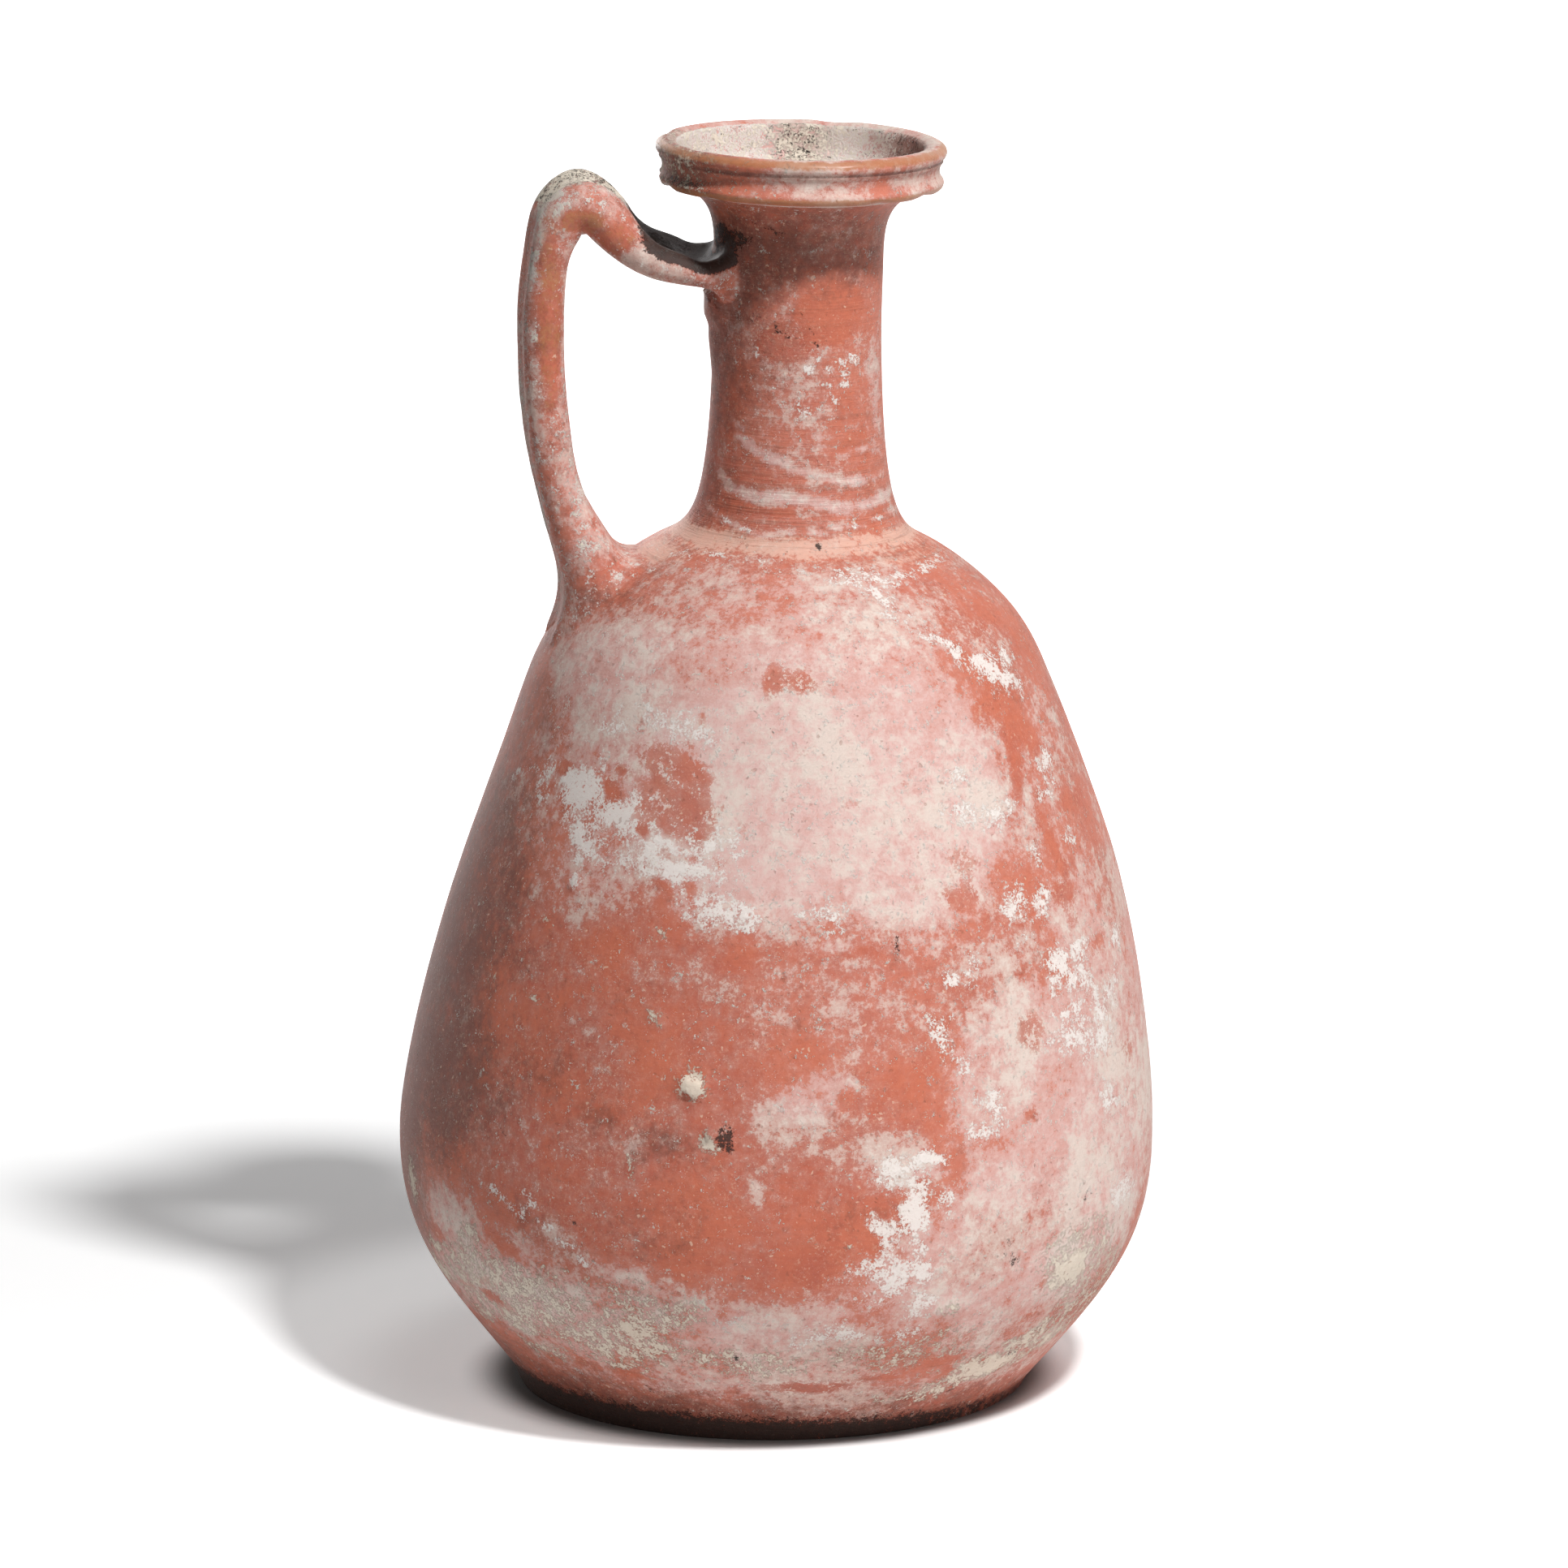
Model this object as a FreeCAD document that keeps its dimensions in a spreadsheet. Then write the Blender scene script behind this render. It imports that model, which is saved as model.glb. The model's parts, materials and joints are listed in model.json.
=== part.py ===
import FreeCAD, Part
import math
import os
import Sketcher

# A thrown pottery jug: pear-shaped belly on a low foot ring, narrow neck, rim of two flanges round a cup,
# and one pulled strap handle with a rib along each edge. All of it is one piece of fired clay.
# Millimetres, +Z up, origin at the centre of the face the foot rests on, handle towards -X.
# The jug is drawn upright on its own turning axis. That axis leans, because the foot was pared off level.

os.makedirs("parts", exist_ok=True)

Vector = FreeCAD.Vector
doc = FreeCAD.newDocument("PotteryJug")
sheet = doc.addObject("Spreadsheet::Sheet", "Sizes")

# Radii are from the turning axis and heights are along it, from the resting face.
GENERAL_SIZES = (
    ("lean_angle", 1.45, "lean of the turning axis, towards +X"),
    ("floor_height", 7.0, "top of the floor inside"),
    ("bore_radius", 10.2, "inside of the neck"),
    ("mouth_clearance", 4.0, "hollow carried on above the lip"),
    ("handle_yaw", 6.0, "handle's turn from -X towards -Y"),
    ("foot_side_low_radius", 42.0, "foot ring's side, carried down to the trim depth"),
    ("trim_depth", 3.0, "clay below the resting face before it is pared off"),
    ("paring_reach", 62.0, "radius of the level cut that pares it off"),
    ("foot_edge_round", 0.7, "worn lower edge of the foot ring"),
    ("recess_radius", 36.0, "recess under the foot"),
    ("recess_draft", 1.5, "how much wider the recess is at the trim depth"),
    ("recess_crown_radius", 25.2, "flat middle of the recess"),
    ("recess_height", 2.1, "ceiling of the recess at its edge"),
    ("recess_crown", 2.7, "ceiling of the recess at its middle"),
)

# Control points of the belly and neck, from the foot ring up to the lower flange: name, radius, height.
BELLY_AND_NECK = (
    ("foot_top", 44.8, 2.7),
    ("spring", 48.5, 7.5),
    ("low_belly", 65.0, 24.5),
    ("high_belly", 65.0, 52.0),
    ("low_taper", 58.0, 86.0),
    ("high_taper", 47.5, 114.5),
    ("shoulder", 41.5, 131.0),
    ("shoulder_turn", 33.5, 139.2),
    ("neck_fillet", 23.6, 146.2),
    ("neck_base", 15.9, 148.6),
    ("neck_low", 14.0, 176.0),
    ("neck_high", 14.5, 193.5),
    ("flange_root", 14.2, 205.7),
    ("flange_under", 23.2, 206.3),
)

# Corners of the rim's outline above the lower flange: name, radius, height.
RIM = (
    ("flange_top", 24.1, 207.9),
    ("band_top", 24.0, 211.0),
    ("lip_under", 24.3, 211.8),
    ("lip_outer", 23.9, 213.7),
    ("lip_inner", 20.7, 213.1),
)

# Radii of the arcs between those corners, from the flange up.
RIM_ARCS = (
    ("flange_arc", 1.2),
    ("band_arc", 4.2),
    ("lip_arc", 1.25),
    ("lip_top_arc", 2.3),
)

# Corners of the hollow inside, from the floor up to the cup: name, radius, height. The wall is about 4 mm,
# and thicker low down and at the foot of the neck, as thrown.
INSIDE = (
    ("floor_edge", 24.0, "=floor_height"),
    ("belly_side", 60.2, 43.0),
    ("belly_taper", 58.4, 62.0),
    ("upper_taper", 53.4, 84.5),
    ("under_shoulder", 43.9, 112.5),
    ("ceiling", 30.5, 134.5),
    ("neck_opening", 17.5, 143.5),
    ("bore_low", "=bore_radius", 157.5),
    ("bore_high", "=bore_radius", 200.0),
    ("cup_floor", 14.6, 206.3),
    ("cup_corner", 18.2, 207.6),
    ("cup_side", 20.1, 209.9),
)

# Radii of the arcs between those corners.
INSIDE_ARCS = (
    ("floor_arc", 36.2),
    ("shoulder_arc", 41.7),
    ("opening_arc", 17.1),
    ("funnel_arc", 6.7),
    ("cup_arc", 2.95),
)

# Radii of the hollow corners round the strap's two ends.
ROOT_FILLETS = (
    ("neck_root_fillet", 3.0),
    ("shoulder_root_fillet", 4.0),
)

# The strap handle, station by station from inside the neck to its tail on the shoulder. Reach is from the
# turning axis, pitch is the way the strap runs there, and the groove is its depth between the two ribs.
STATION_FIELDS = ("reach", "height", "pitch", "width", "thick", "groove")
STATIONS = (
    ("collar", 5.0, 191.8, 0.0, 15.0, 6.8, 0.6),
    ("neck_root", 14.5, 192.1, 0.0, 22.5, 6.0, 1.3),
    ("dip", 20.0, 193.3, 8.0, 25.0, 4.9, 1.7),
    ("rise", 25.6, 194.9, 30.0, 24.5, 5.8, 1.6),
    ("climb", 31.0, 198.9, 46.0, 23.0, 7.4, 1.4),
    ("brow", 34.2, 202.2, 33.0, 22.0, 8.2, 1.2),
    ("crest", 37.2, 203.4, 0.0, 21.5, 8.4, 1.2),
    ("turn", 40.2, 201.2, -48.0, 20.5, 8.0, 1.2),
    ("grip_top", 42.3, 195.5, -82.0, 19.5, 6.7, 1.1),
    ("grip_high", 43.2, 187.0, -87.0, 19.0, 6.8, 1.1),
    ("grip_middle", 43.2, 176.0, -91.0, 18.5, 7.0, 1.1),
    ("grip_low", 42.2, 164.4, -99.0, 18.5, 7.2, 1.1),
    ("bend", 39.8, 153.3, -104.0, 18.5, 7.4, 1.0),
    ("root_top", 36.9, 146.5, -106.0, 20.5, 9.2, 0.9),
    ("root", 34.2, 139.5, -98.0, 22.0, 11.0, 0.6),
    ("tail", 36.3, 131.5, -84.0, 19.0, 8.4, 0.4),
    ("tail_end", 37.5, 125.0, -80.0, 16.0, 8.0, 0.3),
)


# Millimetres within which an edge counts as lying on a face, and beyond which it is clear of another edge.
ON_SURFACE = 0.001
OFF_EDGE = 0.1


def fill_sheet():
    rows = [(name, value, note) for name, value, note in GENERAL_SIZES]
    for name, radius, height in BELLY_AND_NECK + RIM + INSIDE:
        rows.append((name + "_radius", radius, "outline, from the turning axis"))
        rows.append((name + "_height", height, "outline, from the resting face"))
    rows += [(name + "_radius", radius, "radius") for name, radius in RIM_ARCS + INSIDE_ARCS + ROOT_FILLETS]
    for station in STATIONS:
        for field, value in zip(STATION_FIELDS, station[1:]):
            rows.append((station[0] + "_" + field, value, "handle station"))
    for row, (name, value, note) in enumerate(rows, start=1):
        sheet.set(f"A{row}", name)
        sheet.set(f"B{row}", str(value))
        sheet.set(f"C{row}", note)
        sheet.setAlias(f"B{row}", name)
    doc.recompute()


def size(formula):
    return float(sheet.evalExpression(formula))


def cell(name):
    return "Sizes." + name


def at(name):
    return cell(name + "_radius"), cell(name + "_height")


def origin_plane(body, role):
    return next(plane for plane in body.Origin.OriginFeatures if plane.Role == role)


def new_sketch(body, name, role="XZ_Plane"):
    sketch = body.newObject("Sketcher::SketchObject", name)
    sketch.AttachmentSupport = [(origin_plane(body, role), "")]
    sketch.MapMode = "FlatFace"
    return sketch


def bind(sketch, constraint, name, formula):
    index = sketch.addConstraint(constraint)
    sketch.renameConstraint(index, name)
    sketch.setExpression("Constraints." + name, formula)


def place_point(sketch, geometry, end, corner, name):
    # A point's distances from the turning axis and from the resting face, both bound to the sheet.
    distances = (("DistanceX", "radius", corner[0]), ("DistanceY", "height", corner[1]))
    for kind, direction, formula in distances:
        value = size(formula)
        points = (-1, 1, geometry, end) if value >= 0 else (geometry, end, -1, 1)
        signed = formula if value >= 0 else f"-({formula})"
        if abs(value) < 1e-9:
            axis = -2 if kind == "DistanceX" else -1
            sketch.addConstraint(Sketcher.Constraint("PointOnObject", geometry, end, axis))
        else:
            bind(sketch, Sketcher.Constraint(kind, *points, abs(value)), f"{name}_{direction}", signed)


def vector(corner):
    return Vector(size(corner[0]), size(corner[1]), 0)


def arc_through(start, end, radius, side):
    # The arc from start to end that bulges to the given side of the line between them, +1 being its right.
    chord = end - start
    half = chord.Length / 2
    middle = (start + end) * 0.5
    across = Vector(chord.y, -chord.x, 0).normalize()
    rise = radius - math.sqrt(radius ** 2 - half ** 2)
    return Part.Arc(start, middle + across * (side * rise), end)


def spline_through_poles(sketch, corners, names):
    # A smooth curve whose control points are bound to the sheet one by one.
    poles = [vector(corner) for corner in corners]
    spans = len(poles) - 3
    knots = [step / spans for step in range(spans + 1)]
    repeats = [4] + [1] * (spans - 1) + [4]
    curve = Part.BSplineCurve()
    curve.buildFromPolesMultsKnots(poles, repeats, knots, False, 3)
    spline = sketch.addGeometry(curve, False)
    first = None
    for order, (pole, corner, name) in enumerate(zip(poles, corners, names)):
        marker = sketch.addGeometry(Part.Circle(pole, Vector(0, 0, 1), 1.0), True)
        if first is None:
            first = marker
            sketch.addConstraint(Sketcher.Constraint("Weight", marker, 1.0))
        else:
            sketch.addConstraint(Sketcher.Constraint("Equal", first, marker))
        kind = "InternalAlignment:Sketcher::BSplineControlPoint"
        sketch.addConstraint(Sketcher.Constraint(kind, marker, 3, spline, order))
        place_point(sketch, marker, 3, corner, name)
    return spline


def closed_outline(sketch, corners, pieces):
    # corners: name to its two formulas. pieces: each a line, an arc or a spline from one corner to the next.
    geometry = []
    for kind, start, end, *more in pieces:
        if kind == "line":
            segment = Part.LineSegment(vector(corners[start]), vector(corners[end]))
            index = sketch.addGeometry(segment, False)
        elif kind == "arc":
            radius, side = more
            ends = vector(corners[start]), vector(corners[end])
            curve = arc_through(*ends, size(cell(radius)), side)
            index = sketch.addGeometry(curve, False)
            bind(sketch, Sketcher.Constraint("Radius", index, size(cell(radius))), radius, cell(radius))
        else:
            names = [start] + more[0] + [end]
            index = spline_through_poles(sketch, [corners[name] for name in names], names)
        geometry.append(index)
    placed = {name for kind, start, end, *more in pieces if kind == "spline" for name in (start, end)}
    for step, (kind, start, end, *more) in enumerate(pieces):
        here = ends_of(sketch, geometry[step], vector(corners[start]))
        after = (step + 1) % len(pieces)
        there = ends_of(sketch, geometry[after], vector(corners[end]))
        sketch.addConstraint(
            Sketcher.Constraint("Coincident", geometry[step], 3 - here, geometry[after], there))
        if end not in placed:
            place_point(sketch, geometry[step], 3 - here, corners[end], end)
    doc.recompute()


def ends_of(sketch, index, point):
    # 1 where the piece starts at this point, 2 where it ends there: an arc may be stored the other way round.
    return 1 if (sketch.getPoint(index, 1) - point).Length < 1e-4 else 2


def revolve(body, kind, name, sketch):
    feature = body.newObject(kind, name)
    feature.Profile = sketch
    feature.ReferenceAxis = (sketch, ["V_Axis"])
    feature.Angle = 360
    sketch.Visibility = False
    doc.recompute()
    return feature


def outer_form(body):
    sketch = new_sketch(body, "OuterOutline")
    corners = {name: at(name) for name, *place in BELLY_AND_NECK + RIM}
    corners["axis_low"] = ("0", "-" + cell("trim_depth"))
    corners["foot_low"] = (cell("foot_side_low_radius"), "-" + cell("trim_depth"))
    corners["axis_top"] = ("0", cell("lip_inner_height"))
    belly = [name for name, *place in BELLY_AND_NECK]
    closed_outline(sketch, corners, [
        ("line", "axis_low", "foot_low"),
        ("line", "foot_low", "foot_top"),
        ("spline", "foot_top", "flange_under", belly[1:-1]),
        ("arc", "flange_under", "flange_top", "flange_arc_radius", 1),
        ("arc", "flange_top", "band_top", "band_arc_radius", -1),
        ("line", "band_top", "lip_under"),
        ("arc", "lip_under", "lip_outer", "lip_arc_radius", 1),
        ("arc", "lip_outer", "lip_inner", "lip_top_arc_radius", 1),
        ("line", "lip_inner", "axis_top"),
        ("line", "axis_top", "axis_low"),
    ])
    return revolve(body, "PartDesign::Revolution", "OuterForm", sketch)


def level_foot(body):
    # The resting face is level in the world, so on the leaning jug it is cut at the angle of the lean.
    sketch = new_sketch(body, "RestingFace", "XY_Plane")
    sketch.AttachmentOffset = FreeCAD.Placement(Vector(), Vector(0, -1, 0), size("lean_angle"))
    sketch.setExpression("AttachmentOffset.Rotation.Angle", cell("lean_angle") + " * 1 deg")
    reach = size("paring_reach")
    disc = sketch.addGeometry(Part.Circle(Vector(), Vector(0, 0, 1), reach), False)
    sketch.addConstraint(Sketcher.Constraint("Coincident", disc, 3, -1, 1))
    bind(sketch, Sketcher.Constraint("Radius", disc, reach), "reach", cell("paring_reach"))
    pocket = body.newObject("PartDesign::Pocket", "LevelFoot")
    pocket.Profile = sketch
    pocket.Reversed = False
    pocket.Length = 3 * size("trim_depth")
    pocket.setExpression("Length", cell("trim_depth") + " * 3")
    sketch.Visibility = False
    doc.recompute()
    return pocket


def strap_section(body, name):
    # Two round ribs, a hollow between them on the outer face, and a flat inner face.
    reach, height, pitch, width, thick, groove = (size(f"{name}_{field}") for field in STATION_FIELDS)
    rib = thick / 2
    spread = (width - thick) / 2
    hollow = (spread ** 2 + groove ** 2) / (2 * groove) - rib
    lift = rib - groove + hollow
    right, left = Vector(spread, 0, 0), Vector(-spread, 0, 0)
    touch = Vector(-spread, lift, 0).normalize() * rib
    touch_right, touch_left = right + touch, Vector(-right.x - touch.x, touch.y, 0)
    under = Vector(0, -rib, 0)

    sketch = new_sketch(body, "Strap_" + name, "XY_Plane")
    yaw = math.radians(size("handle_yaw"))
    slope = math.radians(pitch)
    out = Vector(-math.cos(yaw), -math.sin(yaw), 0)
    across = Vector(-math.sin(yaw), math.cos(yaw), 0)
    face = out * -math.sin(slope) + Vector(0, 0, math.cos(slope))
    turn = FreeCAD.Rotation(across, face, across.cross(face), "XYZ")
    sketch.AttachmentOffset = FreeCAD.Placement(out * reach + Vector(0, 0, height), turn)

    def arc(centre, radius, start, end):
        circle = Part.Circle(centre, Vector(0, 0, 1), radius)
        first, last = (math.atan2((point - centre).y, (point - centre).x) for point in (start, end))
        past = 2 * math.pi if last < first else 0
        return sketch.addGeometry(Part.ArcOfCircle(circle, first, last + past), False)

    trough = arc(Vector(0, lift, 0), hollow, touch_left, touch_right)
    rib_right = arc(right, rib, right + under, touch_right)
    rib_left = arc(left, rib, touch_left, left + under)
    flat = sketch.addGeometry(Part.LineSegment(left + under, right + under), False)
    for one, one_end, other, other_end in (
            (trough, 2, rib_right, 2), (trough, 1, rib_left, 1),
            (rib_right, 1, flat, 2), (rib_left, 2, flat, 1)):
        sketch.addConstraint(Sketcher.Constraint("Tangent", one, one_end, other, other_end))
    sketch.addConstraint(Sketcher.Constraint("PointOnObject", rib_right, 3, -1))
    sketch.addConstraint(Sketcher.Constraint("Symmetric", rib_right, 3, rib_left, 3, -2))
    sketch.addConstraint(Sketcher.Constraint("Equal", rib_right, rib_left))
    width_cell, thick_cell, groove_cell = (cell(f"{name}_{field}") for field in ("width", "thick", "groove"))
    half_gap = f"(({width_cell} - {thick_cell}) / 2)"
    bind(sketch, Sketcher.Constraint("Radius", rib_right, rib), "rib", f"{thick_cell} / 2")
    bind(sketch, Sketcher.Constraint("DistanceX", -1, 1, rib_right, 3, spread), "spread", half_gap)
    bind(sketch, Sketcher.Constraint("Radius", trough, hollow), "hollow",
         f"({half_gap}^2 + {groove_cell}^2) / (2 * {groove_cell}) - {thick_cell} / 2")
    sketch.Visibility = False
    return sketch


def handle(body):
    sections = [strap_section(body, station[0]) for station in STATIONS]
    doc.recompute()
    loft = body.newObject("PartDesign::AdditiveLoft", "StrapHandle")
    loft.Profile = sections[0]
    loft.Sections = sections[1:]
    loft.Ruled = False
    loft.Closed = False
    doc.recompute()
    return loft


def meeting_edges(whole, base, low, high):
    # The edges of the whole, between these heights, that run across the base's faces and along none of its
    # edges: the line where the strap meets the thrown form.
    faces, edges = Part.Compound(base.Faces), Part.Compound(base.Edges)
    names = []
    for order, edge in enumerate(whole.Edges, start=1):
        middle = Part.Vertex(edge.valueAt((edge.FirstParameter + edge.LastParameter) / 2))
        on_faces = middle.distToShape(faces)[0] < ON_SURFACE
        if low < middle.Z < high and on_faces and middle.distToShape(edges)[0] > OFF_EDGE:
            names.append(f"Edge{order}")
    return names


def smear_root(body, name, previous, base, low, high, radius):
    # The wet clay is drawn out round the strap's end, so the corner there is hollow and soft.
    fillet = body.newObject("PartDesign::Fillet", name)
    fillet.Base = (previous, meeting_edges(previous.Shape, base, size(low), size(high)))
    fillet.Radius = size(cell(radius))
    fillet.setExpression("Radius", cell(radius))
    doc.recompute()
    return fillet


def cavity(body):
    # The belly, neck bore and cup as one turned hollow. It also takes off what the strap's roots leave there.
    sketch = new_sketch(body, "CavityOutline")
    above = f"{cell('lip_inner_height')} + {cell('mouth_clearance')}"
    corners = {name: at(name) for name, *place in INSIDE}
    corners["axis_floor"] = ("0", cell("floor_height"))
    corners["mouth"] = at("lip_inner")
    corners["mouth_above"] = (cell("lip_inner_radius"), above)
    corners["axis_above"] = ("0", above)
    closed_outline(sketch, corners, [
        ("line", "axis_floor", "floor_edge"),
        ("arc", "floor_edge", "belly_side", "floor_arc_radius", 1),
        ("line", "belly_side", "belly_taper"),
        ("line", "belly_taper", "upper_taper"),
        ("line", "upper_taper", "under_shoulder"),
        ("arc", "under_shoulder", "ceiling", "shoulder_arc_radius", 1),
        ("line", "ceiling", "neck_opening"),
        ("arc", "neck_opening", "bore_low", "opening_arc_radius", -1),
        ("line", "bore_low", "bore_high"),
        ("arc", "bore_high", "cup_floor", "funnel_arc_radius", -1),
        ("line", "cup_floor", "cup_corner"),
        ("arc", "cup_corner", "cup_side", "cup_arc_radius", 1),
        ("line", "cup_side", "mouth"),
        ("line", "mouth", "mouth_above"),
        ("line", "mouth_above", "axis_above"),
        ("line", "axis_above", "axis_floor"),
    ])
    return revolve(body, "PartDesign::Groove", "Cavity", sketch)


def foot_recess(body):
    # The underside is turned hollow, which leaves a foot ring to stand on.
    sketch = new_sketch(body, "RecessOutline")
    below = "-" + cell("trim_depth")
    corners = {
        "axis_below": ("0", below),
        "ring_below": (f"{cell('recess_radius')} + {cell('recess_draft')}", below),
        "ring_inner": (cell("recess_radius"), cell("recess_height")),
        "crown_edge": (cell("recess_crown_radius"), cell("recess_crown")),
        "axis_crown": ("0", cell("recess_crown")),
    }
    closed_outline(sketch, corners, [
        ("line", "axis_below", "ring_below"),
        ("line", "ring_below", "ring_inner"),
        ("line", "ring_inner", "crown_edge"),
        ("line", "crown_edge", "axis_crown"),
        ("line", "axis_crown", "axis_below"),
    ])
    return revolve(body, "PartDesign::Groove", "FootRecess", sketch)


def foot_edge(body, previous):
    # The ring's outer edge is worn round where it meets the table: the lowest edge wider than the recess.
    recess_width = 2 * size("recess_radius + recess_draft")
    names = []
    for order, edge in enumerate(previous.Shape.Edges, start=1):
        box = edge.BoundBox
        if box.ZMax < size("recess_height") and box.XLength > recess_width:
            names.append(f"Edge{order}")
    fillet = body.newObject("PartDesign::Fillet", "FootEdge")
    fillet.Base = (previous, names)
    fillet.Radius = size(cell("foot_edge_round"))
    fillet.setExpression("Radius", cell("foot_edge_round"))
    doc.recompute()
    return fillet


def check_step(feature, before=None, grows=True):
    # One sound solid after every step, and more or less clay than before where the step adds or takes clay.
    volume = feature.Shape.Volume
    wrong_way = before is not None and (volume > before) != grows
    if wrong_way or not feature.Shape.isValid() or len(feature.Shape.Solids) != 1:
        raise RuntimeError(f"{feature.Label} left no sound solid")
    print(f"{feature.Label}: {volume / 1000:.1f} cubic centimetres")
    return volume


def make_jug():
    body = doc.addObject("PartDesign::Body", "Jug")
    body.Label = "jug"
    outer = outer_form(body)
    volume = check_step(outer, 0)
    volume = check_step(level_foot(body), volume, grows=False)
    strap = handle(body)
    check_step(strap, volume)
    shoulder = smear_root(body, "ShoulderRoot", strap, outer.Shape, cell("tail_end_height"),
                          cell("neck_base_height"), "shoulder_root_fillet_radius")
    check_step(shoulder)
    neck = smear_root(body, "NeckRoot", shoulder, outer.Shape, cell("neck_low_height"),
                      cell("flange_under_height"), "neck_root_fillet_radius")
    volume = check_step(neck)
    volume = check_step(cavity(body), volume, grows=False)
    recess = foot_recess(body)
    check_step(recess, volume, grows=False)
    check_step(foot_edge(body, recess))
    body.Placement = FreeCAD.Placement(Vector(), Vector(0, 1, 0), size(cell("lean_angle")))
    body.setExpression("Placement.Rotation.Angle", cell("lean_angle") + " * 1 deg")
    return body


fill_sheet()
jug = make_jug()
doc.recompute()
for item in doc.Objects:
    if "Invalid" in item.State or "Error" in item.State:
        raise RuntimeError(f"{item.Label} failed: {item.State}")
if jug.Shape.isNull() or not jug.Shape.isValid():
    raise RuntimeError("the jug has no valid shape")
jug.Shape.exportStep("parts/jug.step")
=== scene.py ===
import bpy
import json
import math
import numpy as np
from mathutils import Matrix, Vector, noise

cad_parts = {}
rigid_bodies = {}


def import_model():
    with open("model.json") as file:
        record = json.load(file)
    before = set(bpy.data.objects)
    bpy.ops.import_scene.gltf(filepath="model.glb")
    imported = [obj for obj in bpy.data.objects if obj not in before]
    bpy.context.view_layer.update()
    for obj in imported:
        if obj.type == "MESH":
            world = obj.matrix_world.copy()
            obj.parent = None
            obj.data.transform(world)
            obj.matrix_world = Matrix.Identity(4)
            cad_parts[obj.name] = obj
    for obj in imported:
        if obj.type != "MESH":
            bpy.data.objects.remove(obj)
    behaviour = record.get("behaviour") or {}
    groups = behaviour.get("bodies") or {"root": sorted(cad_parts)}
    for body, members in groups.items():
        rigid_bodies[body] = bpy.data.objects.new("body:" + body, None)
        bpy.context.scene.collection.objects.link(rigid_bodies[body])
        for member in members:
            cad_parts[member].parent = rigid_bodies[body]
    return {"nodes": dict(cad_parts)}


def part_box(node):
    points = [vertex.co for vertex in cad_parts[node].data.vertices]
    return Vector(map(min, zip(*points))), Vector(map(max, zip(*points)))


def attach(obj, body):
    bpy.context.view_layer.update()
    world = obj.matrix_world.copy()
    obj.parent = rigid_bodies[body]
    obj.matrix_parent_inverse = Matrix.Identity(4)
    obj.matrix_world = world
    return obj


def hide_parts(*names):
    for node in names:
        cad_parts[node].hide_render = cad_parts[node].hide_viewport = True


bl_info = {
    "name": "Pottery Jug",
    "version": (1, 0, 0),
    "blender": (4, 5, 0),
    "location": "View3D > Sidebar > Jug",
    "description": "A thrown pottery jug with a strap handle, worn red slip and lime crust",
    "category": "Object",
}

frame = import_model()
CLAY_NODE = frame["nodes"]["jug"]
LOW_CORNER, HIGH_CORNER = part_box("jug")
MM = 0.001
SWIRL_SEED = 3

# Control points of the belly and neck from the foot ring up to the lower flange, as radius from the turning
# axis and height along it. The tables that follow are all in millimetres.
BELLY_AND_NECK = (
    (44.8, 2.7), (48.5, 7.5), (65.0, 24.5), (65.0, 52.0), (58.0, 86.0), (47.5, 114.5), (41.5, 131.0),
    (33.5, 139.2), (23.6, 146.2), (15.9, 148.6), (14.0, 176.0), (14.5, 193.5), (14.2, 205.7), (23.2, 206.3),
)

# The rest of the section, corner by corner: radius, height, radius of the arc that leads there (0 is a
# straight line), and the side it bulges to, +1 being the right of the way it runs. Row spacing comes last.
UNDERSIDE = (
    (0.0, 2.7, 0.0, 0, 8.0),
    (25.2, 2.7, 0.0, 0, 8.0),
    (36.0, 2.1, 0.0, 0, 4.0),
    (37.5, -3.0, 0.0, 0, 3.0),
    (42.0, -3.0, 0.0, 0, 2.2),
    (44.8, 2.7, 0.0, 0, 0.9),
)
RIM = (
    (24.1, 207.9, 1.2, 1, 0.32),
    (24.0, 211.0, 2.2, -1, 0.42),
    (24.3, 211.8, 0.6, -1, 0.2),
    (23.9, 213.7, 1.25, 1, 0.3),
    (20.7, 213.1, 2.3, 1, 0.42),
)
INSIDE = (
    (20.1, 209.9, 0.0, 0, 0.7),
    (18.2, 207.6, 2.95, -1, 0.7),
    (14.6, 206.3, 0.0, 0, 0.8),
    (10.2, 200.0, 6.7, 1, 1.0),
    (10.2, 157.5, 0.0, 0, 5.0),
    (17.5, 143.5, 17.1, 1, 3.0),
    (30.5, 134.5, 0.0, 0, 5.0),
    (43.9, 112.5, 41.7, -1, 5.0),
    (53.4, 84.5, 0.0, 0, 7.0),
    (58.4, 62.0, 0.0, 0, 7.0),
    (60.2, 43.0, 0.0, 0, 7.0),
    (24.0, 7.0, 36.2, -1, 5.0),
    (0.0, 7.0, 0.0, 0, 6.0),
)

# Height above which the rows lie closer, where the marks are finer.
NECK_STARTS = 140.0

# How far the belly leans out of true towards +X, height by height, in millimetres: thrown clay sags.
BOW = (
    (0, 0.0), (45, 0.0), (62, 0.55), (75, 1.05), (88, 1.35), (98, 1.38), (110, 1.1), (124, 0.5), (140, 0.6),
    (152, 0.6), (165, 0.4), (185, 0.0), (215, 0.0),
)

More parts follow.
